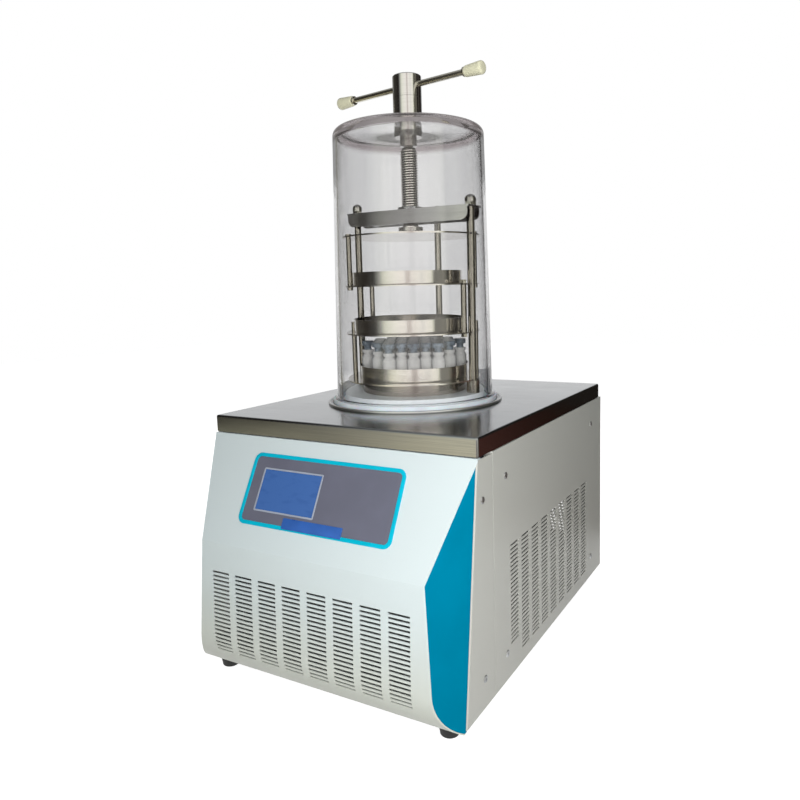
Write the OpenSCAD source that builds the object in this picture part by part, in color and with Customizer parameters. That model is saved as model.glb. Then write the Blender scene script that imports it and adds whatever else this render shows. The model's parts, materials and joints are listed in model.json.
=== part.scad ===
// Bench-top freeze dryer with a clear bell, three hanging shelves and a hand-turned stoppering press.
// Millimetres, +Z up. The origin is the middle of the footprint, on the bench.

/* [Cabinet] */
// Width over the side panels and the worktop
body_w = 450; // [440:1:470]
// Depth of the stainless worktop
worktop_d = 540; // [530:1:560]
// Height from the cabinet's underside to the worktop's top face
body_h = 363; // [358:1:375]
// Height of the rubber feet
foot_h = 22; // [14:1:26]
// Diameter of a rubber foot at its top
foot_d = 32; // [26:1:36]
// How much narrower a foot is on the ground
foot_taper = 7; // [4:1:9]
// Distance of a foot's axis from the cabinet's middle plane
foot_x = 192; // [180:1:198]
// Distance of a front foot's axis ahead of the worktop
foot_y = 29; // [26:1:31]
// Thickness of the painted sheet
sheet = 1.5; // [1.2:0.1:2]
// Height of the worktop's folded rim
rim_h = 25.4; // [22:0.1:30]
// Thickness of the worktop's sheet
worktop_t = 1.5; // [1.2:0.1:2]
// Bend radius along the worktop's top edges
worktop_bend = 3; // [2.5:0.1:4]
// Open joint between two panels
panel_gap = 1; // [0.6:0.1:1.2]
// Depth of the rear pan behind the worktop
rear_reach = 12; // [10:1:16]
// Width of the folded return along a panel's edge
return_w = 12; // [8:1:14]
// Width of the square tube of the frame
post_w = 20; // [16:1:22]
// Wall of the square tube
post_wall = 1.5; // [1.2:0.1:2]
// Thickness of the base pan
base_t = 2; // [1.5:0.1:3]
// Height of the base pan's upturned edge
base_edge = 18; // [12:1:24]
// Side of the air opening in the base pan
vent_w = 80; // [60:1:85]
// Distance of the air opening's middle to the left of the cabinet's middle
vent_x = 110; // [90:1:125]
// Distance of the air opening's middle behind the worktop's front edge
vent_y = 130; // [110:1:150]
// Distance of a rear screw from the cabinet's side
screw_in = 14; // [10:1:16]
// Distance of a rear screw from the panel's upper and lower edge
screw_drop = 33; // [25:1:40]
// Diameter of a panel screw's head
screw_head_d = 10; // [8:0.5:11]
// Height of a panel screw's head
screw_head_h = 1.6; // [1.2:0.1:2]
// Diameter of a panel screw's shank
screw_d = 4; // [3:0.1:4.5]

/* [Front cover] */
// How far the kink line stands out ahead of the worktop
kink_out = 77; // [70:1:79]
// Depth of the kink line below the worktop's top face
kink_drop = 170; // [160:1:180]
// How far the lower face stands out at most
face_out = 81.5; // [80:0.5:90]
// Radius of the rolled lower edge
roll_r = 67; // [60:1:72]
// Angle that the rolled lower edge turns through
roll_sweep = 60; // [50:1:70]
// How far the rolled edge hangs below the base
cover_low = 4.5; // [3:0.5:6]
// Depth of the folded return under the front cover
front_lip = 2; // [1:0.5:2.5]
// How far the side facet cuts in at the kink line
facet_in = 39; // [34:1:44]
// How far forward the facet meets the side at the bottom
facet_foot = 43; // [38:1:46]
// Thickness of the blue-green side facets
facet_t = 2; // [1.5:0.1:3]
// Width of the painted cheek behind the worktop's front edge
cheek_d = 43; // [40:1:50]
// Fine joint around the facets
facet_gap = 0.3; // [0.2:0.1:0.4]

/* [Ventilation slots] */
// Pitch of the slots in a column
slot_pitch = 6.2; // [5.8:0.1:6.6]
// Height of one slot
slot_h = 3; // [2.4:0.1:3.4]
// Length of a slot in the front cover
front_slot_w = 32; // [28:0.5:34]
// Pitch of the front columns
front_column_pitch = 43.1; // [41:0.1:44]
// Columns in the front cover
front_columns = 8; // [6:1:8]
// Slots in a front column
front_rows = 20; // [14:1:20]
// Distance of the first front slot below the kink line
front_slot_drop = 43; // [38:1:48]
// Length of a slot in a side panel
side_slot_w = 30; // [26:0.5:32]
// Pitch of the side columns
side_column_pitch = 41; // [39:0.1:42]
// Columns in a side panel
side_columns = 9; // [7:1:9]
// Slots in a side column
side_rows = 28; // [20:1:28]
// Slots in the first side column, which is shorter
side_rows_first = 24; // [20:1:28]
// Distance of the first side column behind the worktop's front edge
side_slot_y = 114; // [110:1:118]
// Depth of the first side slot below the worktop's top face
side_slot_drop = 173; // [168:1:178]

/* [Control panel] */
// Width of the blue-green display frame
frame_w = 260; // [250:1:270]
// Height of the display frame along the slope
frame_h = 104.5; // [98:0.5:108]
// Distance of the display frame below the top of the slope
frame_drop = 23.6; // [20:0.1:26]
// Width of the display frame's band
frame_band = 5.5; // [4.5:0.1:7]
// Corner radius of the display frame
frame_r = 12; // [9:0.5:15]
// Thickness of the display frame
frame_t = 1.8; // [1.4:0.1:2.4]
// Thickness of the grey overlay inside the frame
overlay_t = 0.8; // [0.6:0.1:1]
// Width of the screen's pale bezel
bezel_w = 107; // [100:1:112]
// Height of the screen's pale bezel
bezel_h = 63; // [58:1:66]
// Width of the bezel's band
bezel_band = 2.4; // [1.8:0.1:3]
// Thickness of the bezel above the overlay
bezel_t = 0.7; // [0.5:0.1:0.9]
// Distance of the bezel's left edge from the frame's left edge
bezel_x = 23.5; // [20:0.5:26]
// Distance of the bezel's top edge below the frame's top edge
bezel_drop = 21; // [18:0.5:23]
// Width of the blank blue strip
strip_w = 101; // [95:1:106]
// Height of the blank blue strip
strip_h = 15; // [12:0.5:16]
// Distance of the strip's left edge from the frame's left edge
strip_x = 81.5; // [78:0.5:85]
// How far the strip stops short of the frame's lower edge
strip_up = 2; // [1.5:0.1:3]
// Thickness of the strip
strip_t = 1.4; // [1.2:0.1:1.8]
// Thickness of the screen module behind the cover
screen_t = 7; // [5:0.5:9]
// Thickness of the circuit board
board_t = 1.6; // [1.2:0.1:2]

/* [Cold trap] */
// Offset of the chamber's axis from the middle plane
trap_x = -9; // [-12:1:0]
// Distance of the chamber's axis behind the worktop's front edge
trap_y = 245; // [240:1:255]
// How far the cold trap's mouth lies inside the rack's base disc
trap_in = 11; // [10:0.5:14]
// Depth of the cold trap
trap_depth = 160; // [140:1:165]
// Wall of the cold trap
trap_wall = 1.5; // [1.2:0.1:2]
// Thickness of the cold trap's flange
flange_t = 2; // [1.5:0.1:3]
// How far the bright seat ring stands out around the bell
seat_out = 15.5; // [14:0.5:17]
// Width of the seat ring
seat_w = 7; // [5:0.5:8]
// Height of the seat ring
seat_h = 4; // [3:0.1:5]
// Tube diameter of the evaporator coil
coil_d = 9.5; // [8:0.5:10]
// Pitch of the evaporator coil
coil_pitch = 13; // [11:0.5:13.5]
// Thickness of the foam around the coil
foam_t = 42; // [30:1:45]
// Thickness of the foam under the pot
foam_floor = 25; // [20:1:30]
// Outer diameter of the vacuum port's tube
port_tube_d = 28; // [27:0.5:30]
// Bore of the vacuum port
port_bore_d = 26; // [24:0.5:26]
// Diameter of the vacuum port's clamping flange
port_flange_d = 40; // [38:0.5:42]
// Thickness of the clamping flange's rim
port_flange_t = 3; // [2.5:0.1:4]
// How far the vacuum port stands out of the rear pan
port_reach = 26; // [22:1:34]
// Depth of the vacuum port's axis below the worktop
port_drop = 55; // [50:1:60]

/* [Bell] */
// Outer diameter of the bell at its foot
bell_d = 263; // [261:1:265]
// How much the bell draws in towards its top, on each side
bell_draft = 8; // [6.5:0.5:8.5]
// Height of the bell
bell_h = 441; // [440:1:452]
// Wall of the bell
bell_wall = 6.5; // [5.5:0.1:7]
// Thickness of the bell's flat top
bell_top_t = 13; // [11:0.5:14]
// Radius of the bell's outer top edge
bell_edge_r = 9; // [7:0.5:10]
// Radius of the bell's inner top edge
bell_inner_r = 7; // [5:0.5:9]
// How far the bell's foot stands out
bell_foot_out = 3; // [2:0.5:3.5]
// Height of the bell's foot
bell_foot_h = 7; // [5:0.5:9]
// Thickness of the gasket under the bell
gasket_t = 3; // [2:0.1:4]
// How far the gasket reaches beyond the bell
gasket_out = 7; // [6:0.5:7.5]
// Height of the gasket's outer lip above the bell's foot
gasket_lip = 3; // [2:0.5:4]

/* [Rack] */
// Distance from the bell's outside to the rack's base disc
rack_in = 13; // [12.5:0.5:14]
// Height of the base disc
rack_h = 14.5; // [12:0.5:16]
// How far the base disc reaches inside the vapour guide ring
rack_lip = 4; // [3:0.5:6]
// Distance from the base disc's edge to the vapour guide ring
guide_in = 30.5; // [29:0.5:32.5]
// Wall of the vapour guide ring
guide_wall = 1.5; // [1.2:0.1:2]
// Height of the vapour guide ring
guide_h = 20.5; // [18:0.5:24]
// Height of the bell that the base and the press take up
press_room = 209.4; // [205:0.1:212]
// How far a shelf's edge lies inside the base disc
shelf_in = 6; // [5:0.5:7.5]
// Thickness of a shelf
shelf_t = 2; // [1.5:0.1:2.5]
// Width of a shelf around its tray
tray_in = 20.5; // [20:0.5:24]
// Height of a tray
tray_h = 21.5; // [16:0.5:24]
// Sheet of a tray
tray_t = 1; // [0.8:0.1:1.5]
// Distance of a column's axis inside the base disc's edge
column_in = 10; // [9.5:0.1:11.5]
// Diameter of a column
column_d = 12; // [10:0.5:12.5]
// Diameter of a column's foot
column_foot_d = 20; // [16:0.5:20]
// Distance of a hanging rod's axis inside the columns' ring
rod_in = 3.5; // [3:0.1:4.5]
// Diameter of a hanging rod
rod_d = 9; // [7:0.5:9.5]
// Diameter of the threaded stud at a rod's end
stud_d = 6; // [4:0.5:6]
// Width across the corners of a rod's nut
rod_nut_d = 10; // [9:0.1:11]
// Height of a rod's nut
rod_nut_h = 6; // [4:0.5:8]
// Sliding clearance around a column or a rod
slide_gap = 0.5; // [0.3:0.1:0.6]
// How far a lower guide rod stands above the middle shelf
guide_rod_up = 15; // [10:1:18]

/* [Press] */
// Thickness of the crossbar's sheet
bar_t = 3; // [2.5:0.1:4]
// Width of the crossbar
bar_w = 44; // [42:1:46]
// Height of the crossbar's flanges
bar_h = 23.4; // [20:0.1:26]
// How far the crossbar reaches beyond a column's axis
bar_end = 9; // [8:0.1:9.5]
// Radius of the flanges' lower corners
bar_corner_r = 12; // [9:0.5:14]
// Width of the crossbar's rear arm
arm_w = 26; // [22:1:30]
// Height of the crossbar's top face above the top shelf's press disc
bar_above_disc = 45.4; // [44:0.1:48]
// How far the press disc stands out around the shelves
disc_out = 1.5; // [0:0.5:2.5]
// Thickness of the press disc
disc_t = 2.5; // [2:0.1:3]
// Diameter of the press screw
screw_rod_d = 28.8; // [27:0.1:29]
// How far the press screw stands above the crossbar
screw_up = 100; // [96:1:102]
// Travel of the press from its rest to fully seated stoppers
press_stroke = 20; // [18:0.1:20]
// Diameter of the thrust collar under the crossbar
thrust_d = 41; // [38:0.5:44]
// Height of the thrust collar
thrust_h = 6; // [5:0.5:7]
// Diameter of the thrust collar's hub
hub_d = 30; // [29:0.5:31]
// Diameter of the screw's journal in the thrust collar
journal_d = 22; // [18:0.5:23]
// Flange diameter of the crossbar's nut
nut_flange_d = 41; // [39:0.5:44]
// Flange thickness of the crossbar's nut
nut_flange_t = 4; // [3:0.1:5]
// Body diameter of the crossbar's nut
nut_body_d = 36; // [34:0.5:37]
// Width across the corners of the drive's hexagon
hex_d = 16; // [14:0.1:17]
// Clearance around the drive's hexagon, on the diameter
hex_gap = 0.8; // [0.6:0.1:1]
// Radial running clearance of a journal in its bore
run_gap = 0.06; // [0.04:0.01:0.08]

/* [Handle] */
// Diameter of the gland and the handle's head
head_d = 47; // [45:0.5:50]
// Height of the gland above the bell
gland_h = 50; // [46:1:54]
// Height of the handle's head
head_h = 35; // [32:1:38]
// Chamfer on the handle's head
head_chamfer = 1.5; // [1:0.1:2]
// Diameter of the drive shaft
shaft_d = 16; // [14:0.5:18]
// Diameter of the drive shaft's collar inside the bell
collar_d = 28; // [26:0.5:30]
// Height of the drive shaft's collar
collar_h = 14.5; // [13:0.5:15]
// Diameter of the cross bar
t_bar_d = 8; // [7:0.5:10]
// Height of the cross bar above the gland
t_bar_up = 19.5; // [17:0.5:21]
// Turn of the cross bar from the X axis
t_bar_turn = -9; // [-90:1:90]
// Distance of a knob's outer end from the axis
knob_reach = 154; // [140:1:165]
// Length of a knob
knob_l = 37; // [32:1:42]
// Outer diameter of a knob
knob_d = 20.5; // [18:0.5:23]
// Inner diameter of a knob's body at its narrow end
knob_neck_d = 14.5; // [13:0.5:16]

/* [Vials] */
// Diameter of a vial
vial_d = 22; // [20:0.5:22.5]
// Pitch of the vials in the tray
vial_pitch = 22.6; // [22.6:0.1:24]
// Height between two shelves that a vial leaves free
vial_room = 32.2; // [31:0.1:35]
// Wall of a vial
vial_wall = 1.2; // [1:0.1:1.5]
// Bore of a vial's neck
vial_bore_d = 12.6; // [12:0.1:13]
// Outer diameter of a vial's lip
vial_lip_d = 19.6; // [18:0.1:20]
// Diameter of a stopper's flange
stopper_d = 19.8; // [18:0.1:20]
// Height of a stopper's flange
stopper_h = 8; // [6:0.5:9]
// How far a stopper's flange waits above the lip
stopper_lift = 6.6; // [6.4:0.1:7]
// Length of a stopper's plug
plug_l = 12; // [10:0.5:13]

/* [Refrigeration] */
// Diameter of the compressor's shell
compressor_d = 150; // [140:1:155]
// Height of the compressor's shell
compressor_h = 164; // [150:1:168]
// Width of the condenser
condenser_w = 330; // [300:1:340]
// Height of the condenser
condenser_h = 176; // [160:1:180]
// Thickness of the condenser
condenser_t = 38; // [30:1:40]
// Fins on the condenser
condenser_fins = 32; // [20:1:36]
// Diameter of the fan
fan_d = 150; // [130:1:156]
// Depth of the fan's blades
fan_blade_d = 22; // [18:1:24]
// Blades of the fan
fan_blades = 5; // [4:1:7]

/* [Hidden] */
$fn = 96;
eps = 0.01;
far = 900;

// Main planes
top_z = foot_h + body_h;
total_d = face_out + worktop_d + rear_reach + port_reach;
front_y = face_out - total_d / 2;
half_w = body_w / 2;
seat_d = bell_d + 2 * seat_out;
gasket_d = bell_d + 2 * gasket_out;
bell_top_d = bell_d - 2 * bell_draft;
rack_d = bell_d - 2 * rack_in;
trap_d = rack_d - 2 * trap_in;
guide_d = rack_d - 2 * guide_in;
rack_bore_d = guide_d - 2 * rack_lip;
shelf_d = rack_d - 2 * shelf_in;
disc_d = shelf_d + 2 * disc_out;
tray_d = shelf_d - 2 * tray_in;
column_ring_r = rack_d / 2 - column_in;
rod_ring_r = column_ring_r - rod_in;
bar_l = 2 * (column_ring_r + bar_end);
shelf_pitch = (bell_h - press_room) / 3;
vial_h = shelf_pitch - vial_room;
panel_top = rim_h + sheet;
inner_x = half_w - sheet;
back_y = worktop_d + rear_reach;

// Front cover outline, as [distance behind the worktop's front edge, height above its top]
cover_top = [-1, -panel_top];
cover_kink = [-kink_out, -kink_drop];
roll_y = -face_out + roll_r;
roll_z = -body_h - cover_low + roll_r * sin(roll_sweep);
cover_floor = -body_h - cover_low;
slope_l = norm(cover_top - cover_kink);
slope_turn = atan2(cover_top[1] - cover_kink[1], cover_top[0] - cover_kink[0]);
roll_steps = 15;

// Facet plane through the side's front edge and the narrowed kink line
facet_a = [half_w, cover_top[0], cover_top[1]];
facet_b = [half_w, -facet_foot, -body_h];
facet_k = [half_w - facet_in, cover_kink[0], cover_kink[1]];
facet_n = cross(facet_b - facet_a, facet_a - facet_k);
facet_yaw = atan2(facet_n[1], facet_n[0]);
facet_tilt = asin(facet_n[2] / norm(facet_n));

// Chamber levels above the worktop's top face
bell_foot_z = flange_t + gasket_t;
bell_top_z = bell_foot_z + bell_h;
bell_ceiling = bell_top_z - bell_top_t;
rack_top = flange_t + rack_h;
shelf_z = [for (i = [0:2]) rack_top + guide_h + shelf_t + i * shelf_pitch];
disc_z = shelf_z[2] + shelf_pitch;
hub_h = 8;
bar_top = disc_z + bar_above_disc;
thrust_top = disc_z + disc_t + hub_h + thrust_h;
screw_top = bar_top + screw_up;
head_z = bell_top_z + gland_h;
t_bar_z = head_z + t_bar_up;

// Places on the rack, as angles from +X
column_turns = [0, 94, 180];
upper_turns = [29, 209];
middle_turns = [165, 350];
lower_turns = [20, 200];
tray_shift = [[0, 0], [-6.5, -3.6], [-6.8, -3.8]];
seat_clear = 0.5;
thrust_play = 0.3;

// Puts what follows in the worktop's frame: front edge at Y 0, top face at Z 0
module from_top() {
    translate([0, front_y, top_z]) children();
}

// Puts what follows on the chamber's axis, with the worktop's top face at Z 0
module on_axis() {
    translate([trap_x, front_y + trap_y, top_z]) children();
}

// Puts what follows at an angle on a ring around the chamber's axis
module on_ring(r, turns) {
    for (a = turns) rotate(a) translate([r, 0, 0]) children();
}

// A tube along Z
module tube(d, bore, h) {
    difference() {
        cylinder(d = d, h = h);
        translate([0, 0, -1]) cylinder(d = bore, h = h + 2);
    }
}

// A rounded rectangle made of squares and circles, centred
module round_rect(w, h, r) {
    square([w - 2 * r, h], center = true);
    square([w, h - 2 * r], center = true);
    for (x = [-1, 1], y = [-1, 1]) translate([x * (w / 2 - r), y * (h / 2 - r)]) circle(r);
}

// A box on the XY plane whose top edges and upright edges are rounded
module soft_box(w, d, h, r) {
    linear_extrude(h - r) round_rect(w, d, r);
    translate([-w / 2 + r, -d / 2 + r, 0]) cube([w - 2 * r, d - 2 * r, h]);
    for (x = [-1, 1]) translate([x * (w / 2 - r), -d / 2 + r, h - r]) rotate([-90, 0, 0])
        cylinder(r = r, h = d - 2 * r);
    for (y = [-1, 1]) translate([-w / 2 + r, y * (d / 2 - r), h - r]) rotate([0, 90, 0])
        cylinder(r = r, h = w - 2 * r);
    for (x = [-1, 1], y = [-1, 1]) translate([x * (w / 2 - r), y * (d / 2 - r), h - r]) sphere(r);
}

// --- Cabinet -------------------------------------------------------------

// Worktop: one folded tray of brushed stainless sheet with the trap's opening
module worktop() {
    color("gainsboro") from_top() translate([0, worktop_d / 2, -rim_h]) difference() {
        soft_box(body_w, worktop_d, rim_h, worktop_bend);
        translate([0, 0, -1]) linear_extrude(rim_h - worktop_t + 1)
            round_rect(body_w - 2 * worktop_t, worktop_d - 2 * worktop_t, worktop_bend - worktop_t);
        translate([trap_x, trap_y - worktop_d / 2, 0]) cylinder(d = trap_hole_d(), h = far);
    }
}

function trap_hole_d() = trap_d + 2 * trap_wall + 2 * seat_clear;

// Welded frame of square tube that carries the worktop
module frame() {
    frame_x = inner_x - panel_gap - return_w / 4 - post_w;
    frame_y0 = cover_flange() + panel_gap;
    frame_y1 = worktop_d - worktop_t - panel_gap - sheet - post_w;
    post_h = body_h - base_t - worktop_t;
    color("dimgray") from_top() difference() {
        for (m = [0, 1]) mirror([m, 0, 0]) {
            for (y = [frame_y0, frame_y1]) translate([frame_x, y, -body_h + base_t])
                cube([post_w, post_w, post_h]);
            translate([frame_x, frame_y0, -worktop_t - post_w]) cube([post_w, frame_y1 - frame_y0, post_w]);
        }
        for (m = [0, 1], y = [frame_y0, frame_y1]) mirror([m, 0, 0])
            translate([frame_x + post_wall, y + post_wall, -body_h])
                cube([post_w - 2 * post_wall, post_w - 2 * post_wall, body_h - worktop_t - post_w]);
    }
    color("dimgray") from_top() for (y = [frame_y0, frame_y1])
        translate([-frame_x, y, -worktop_t - post_w]) cube([2 * frame_x, post_w, post_w]);
}

// Base pan that carries the compressor, the condenser and the frame
module base_pan() {
    pan_w = 2 * inner_x - panel_gap;
    pan_y0 = roll_end_y() + front_lip + panel_gap;
    pan_d = worktop_d - sheet - panel_gap - pan_y0;
    color("silver") from_top() difference() {
        translate([-pan_w / 2, pan_y0, -body_h]) cube([pan_w, pan_d, base_edge]);
        translate([-pan_w / 2 + base_t, pan_y0 - 1, -body_h + base_t])
            cube([pan_w - 2 * base_t, pan_d + 2, base_edge]);
        translate([-vent_x, vent_y, -body_h - 1]) linear_extrude(base_t + 2)
            round_rect(vent_w, vent_w, vent_w / 8);
        beyond_facets(facet_t + facet_gap);
    }
}

function roll_end_y() = roll_y - roll_r * cos(roll_sweep);
function cover_flange() = cover_top[0] + 8;

// Outline of the front cover's outside, set back by t, and closed behind at y_back
function cover_outline(t, y_back) =
    let (u = (cover_top - cover_kink) / slope_l,
         n1 = [u[1], -u[0]],
         foot = [-face_out, roll_z],
         v = (cover_kink - foot) / norm(cover_kink - foot),
         n2 = [v[1], -v[0]],
         kink = cover_kink + (n1 + n2) * t / (1 + n1 * n2))
    concat(
        [[y_back, cover_top[1] - t], [cover_top[0] + t / n1[0] - t * u[0] / u[1], cover_top[1] - t], kink],
        [for (i = [0:roll_steps]) let (a = 180 + roll_sweep * i / roll_steps)
            [roll_y + (roll_r - t) * cos(a), max(roll_z + (roll_r - t) * sin(a), cover_floor + t)]],
        [[y_back, cover_floor + t]]);

// The region behind the front cover's outside, full width, set back by t
module behind_cover(t, y_back) {
    translate([-half_w, 0, 0]) rotate([90, 0, 90]) linear_extrude(body_w)
        polygon(cover_outline(t, y_back));
}

// Everything outside the facet plane on the right, set inwards by t
module beyond_facet(t) {
    translate(facet_a) rotate([0, 0, facet_yaw]) rotate([0, -facet_tilt, 0])
        translate([-t, -far / 2, -far]) cube([far, far, 2 * far]);
}

module beyond_facets(t) {
    beyond_facet(t);
    mirror([1, 0, 0]) beyond_facet(t);
}

// Centre and tilt of a front slot row, counted from the kink line down
function row_place(s) =
    let (foot = [-face_out, roll_z],
         l = norm(cover_kink - foot),
         a = (s - l) / roll_r * 180 / PI)
    s < l ? concat(cover_kink + (foot - cover_kink) * s / l, [0])
          : [roll_y - roll_r * cos(a), roll_z - roll_r * sin(a), a];

module front_slots() {
    first = front_slot_drop;
    for (r = [0:front_rows - 1]) {
        place = row_place(first + r * slot_pitch);
        for (c = [0:front_columns - 1])
            translate([(c - (front_columns - 1) / 2) * front_column_pitch, place[0], place[1]])
                rotate([place[2], 0, 0]) cube([front_slot_w, 6 * sheet, slot_h], center = true);
    }
}

// Front cover: one folded sheet with a sloped panel, a slotted face and a rolled lower edge
module front_panel() {
    color("aliceblue") from_top() difference() {
        behind_cover(0, cover_flange());
        behind_cover(sheet, far);
        translate([-half_w - 1, roll_end_y() + front_lip, cover_floor - 1])
            cube([body_w + 2, far, 4 * sheet]);
        beyond_facets(0);
        front_slots();
        on_slope() translate([bezel_cx(), bezel_cy(), 0])
            cube([bezel_w - 2 * bezel_band, bezel_h - 2 * bezel_band, 8 * sheet], center = true);
    }
}

// Blue-green facet between the front cover and the cheek, right hand
module facet() {
    difference() {
        intersection() {
            behind_cover(sheet + facet_gap, far);
            translate([0, -far / 2, cover_floor]) cube([inner_x - facet_gap, far, body_h]);
            beyond_facet(facet_t);
        }
        beyond_facet(0);
    }
}

module facet_right() {
    color("teal") from_top() facet();
}

module facet_left() {
    color("teal") from_top() mirror([1, 0, 0]) facet();
}

// Painted cheek between the facet and the side panel, right hand
module cheek() {
    difference() {
        intersection() {
            translate([inner_x, -far / 4, -body_h]) cube([sheet, far / 4 + cheek_d, body_h - panel_top]);
            behind_cover(sheet + facet_gap, far);
        }
        beyond_facet(0);
        side_screws(cheek_screw_places(), screw_d);
    }
    translate([inner_x - return_w, cheek_d - sheet, -body_h + base_edge + panel_gap])
        cube([return_w + eps, sheet, body_h - panel_top - base_edge - panel_gap]);
}

module cheek_right() {
    color("ghostwhite") from_top() cheek();
}

module cheek_left() {
    color("ghostwhite") from_top() mirror([1, 0, 0]) cheek();
}

function screw_foot() = 39 - body_h;
function cheek_screw_places() = [for (z = [-83, screw_foot() + 1]) [11, z]];
function side_screw_places() = [for (y = [85, worktop_d - 54], z = [-69, screw_foot()]) [y, z]];

// Shank-sized rods through the right side at the given places
module side_screws(places, d) {
    for (p = places) translate([inner_x - 1, p[0], p[1]]) rotate([0, 90, 0])
        cylinder(d = d, h = sheet + 2, $fn = 24);
}

// Painted side panel with its slots, right hand
module side_panel() {
    y0 = cheek_d + panel_gap;
    w = worktop_d - panel_gap / 2 - y0;
    h = body_h - panel_top;
    difference() {
        translate([inner_x, 0, 0]) rotate([90, 0, 90]) linear_extrude(sheet) difference() {
            translate([y0, -body_h]) square([w, h]);
            for (c = [0:side_columns - 1], r = [0:(c == 0 ? side_rows_first : side_rows) - 1])
                translate([side_slot_y + c * side_column_pitch, -side_slot_drop - r * slot_pitch])
                    square([side_slot_w, slot_h], center = true);
        }
        side_screws(side_screw_places(), screw_d);
    }
    for (y = [y0, y0 + w - sheet]) translate([inner_x - return_w, y, -body_h + base_edge + panel_gap])
        cube([return_w + eps, sheet, h - base_edge - panel_gap]);
}

module side_panel_right() {
    color("ghostwhite") from_top() side_panel();
}

module side_panel_left() {
    color("ghostwhite") from_top() mirror([1, 0, 0]) side_panel();
}

// Rear pan with its slots and the openings for the port, the valve and the mains inlet
module rear_panel() {
    h = body_h - panel_top;
    color("ghostwhite") from_top() difference() {
        translate([-half_w, worktop_d, -body_h]) cube([body_w, rear_reach, h]);
        translate([-inner_x, worktop_d - 1, -body_h + sheet])
            cube([2 * inner_x, rear_reach - sheet + 1, h - 2 * sheet]);
        translate([trap_x, back_y - 2 * sheet, -port_drop]) rotate([-90, 0, 0])
            cylinder(d = port_tube_d + 2 * seat_clear, h = far);
        translate([valve_x(), back_y - 2 * sheet, -valve_drop()]) rotate([-90, 0, 0])
            cylinder(d = valve_d() + 2 * seat_clear, h = far, $fn = 48);
        translate([inlet_x(), back_y, -inlet_drop()])
            cube([inlet_w() + 2 * facet_gap, 8 * sheet, inlet_h() + 2 * facet_gap], center = true);
        for (c = [0:3], r = [0:rear_rows() - 1])
            translate([(c - 1.5) * front_column_pitch + rear_slots_x(), back_y, rear_slot_z(r)])
                cube([front_slot_w, 8 * sheet, slot_h], center = true);
        for (p = rear_screw_places()) translate([p[0], back_y - 2 * sheet, p[1]]) rotate([-90, 0, 0])
            cylinder(d = screw_d, h = far, $fn = 24);
    }
}

function rear_screw_places() = [for (x = [-1, 1], z = [-panel_top - screw_drop, screw_drop - body_h])
    [x * (half_w - screw_in), z]];
function rear_rows() = 22;
function rear_slot_z(r) = -side_slot_drop - r * slot_pitch;
function rear_slots_x() = 70;
function valve_x() = -130;
function valve_drop() = 300;
function valve_d() = 18;
function inlet_x() = -130;
function inlet_drop() = 215;
function inlet_w() = 30;
function inlet_h() = 58;

// Four rubber feet
module feet() {
    ground_d = foot_d - foot_taper;
    color("#1c1c1e") for (x = [-1, 1], y = [-foot_y, worktop_d - foot_y])
        translate([x * foot_x, front_y + y, 0]) difference() {
            cylinder(d1 = ground_d, d2 = foot_d, h = foot_h);
            translate([0, 0, -1]) cylinder(d = ground_d / 2, h = foot_h / 2);
        }
}

// Button-head screws in the sides and the rear
module panel_screws() {
    color("silver") from_top() {
        for (m = [0, 1], p = concat(cheek_screw_places(), side_screw_places())) mirror([m, 0, 0])
            translate([half_w, p[0], p[1]]) rotate([0, 90, 0]) panel_screw();
        for (p = rear_screw_places()) translate([p[0], back_y, p[1]]) rotate([-90, 0, 0]) panel_screw();
    }
}

module panel_screw() {
    recess_w = 1.2;
    h = screw_head_h;
    r = screw_head_d / 2;
    difference() {
        union() {
            rotate_extrude($fn = 48) polygon([[0, 0], [r, 0], [0.9 * r, 0.7 * h], [0.6 * r, h], [0, h]]);
            translate([0, 0, -2 * sheet]) cylinder(d = screw_d - 0.1, h = 2 * sheet + eps, $fn = 24);
        }
        for (a = [0, 90]) rotate(a) translate([-r / 2, -recess_w / 2, h / 2]) cube([r, recess_w, h]);
    }
}

// --- Control panel -------------------------------------------------------

// Puts what follows on the sloped panel: X across, Y up the slope, Z outwards, origin at its top
module on_slope() {
    translate([0, cover_top[0], cover_top[1]]) rotate([slope_turn, 0, 0]) children();
}

function frame_cy() = -frame_drop - frame_h / 2;
function bezel_cx() = -frame_w / 2 + bezel_x + bezel_w / 2;
function bezel_cy() = -frame_drop - bezel_drop - bezel_h / 2;
function strip_cx() = -frame_w / 2 + strip_x + strip_w / 2;
function strip_cy() = -frame_drop - frame_h + strip_up + strip_h / 2;

module at_strip(grow) {
    translate([strip_cx(), strip_cy(), 0]) linear_extrude(far)
        square([strip_w + grow, strip_h + grow], center = true);
}

// Blue-green moulded frame around the control panel
module display_frame() {
    color("darkcyan") from_top() on_slope() difference() {
        translate([0, frame_cy(), 0]) linear_extrude(frame_t) difference() {
            round_rect(frame_w, frame_h, frame_r);
            round_rect(frame_w - 2 * frame_band, frame_h - 2 * frame_band, frame_r - frame_band);
        }
        translate([0, 0, overlay_t]) at_strip(facet_gap);
    }
}

// Grey overlay sheet inside the frame
module display_overlay() {
    inset = 2 * frame_band + facet_gap;
    color("slategray") from_top() on_slope() difference() {
        translate([0, frame_cy(), 0]) linear_extrude(overlay_t)
            round_rect(frame_w - inset, frame_h - inset, frame_r - frame_band);
        translate([bezel_cx(), bezel_cy(), -1]) linear_extrude(far)
            square([bezel_w - 2 * bezel_band, bezel_h - 2 * bezel_band], center = true);
    }
}

// Pale bezel around the screen
module screen_bezel() {
    color("lightgray") from_top() on_slope() translate([bezel_cx(), bezel_cy(), overlay_t])
        linear_extrude(bezel_t) difference() {
            round_rect(bezel_w, bezel_h, bezel_band);
            square([bezel_w - 2 * bezel_band, bezel_h - 2 * bezel_band], center = true);
        }
}

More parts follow.
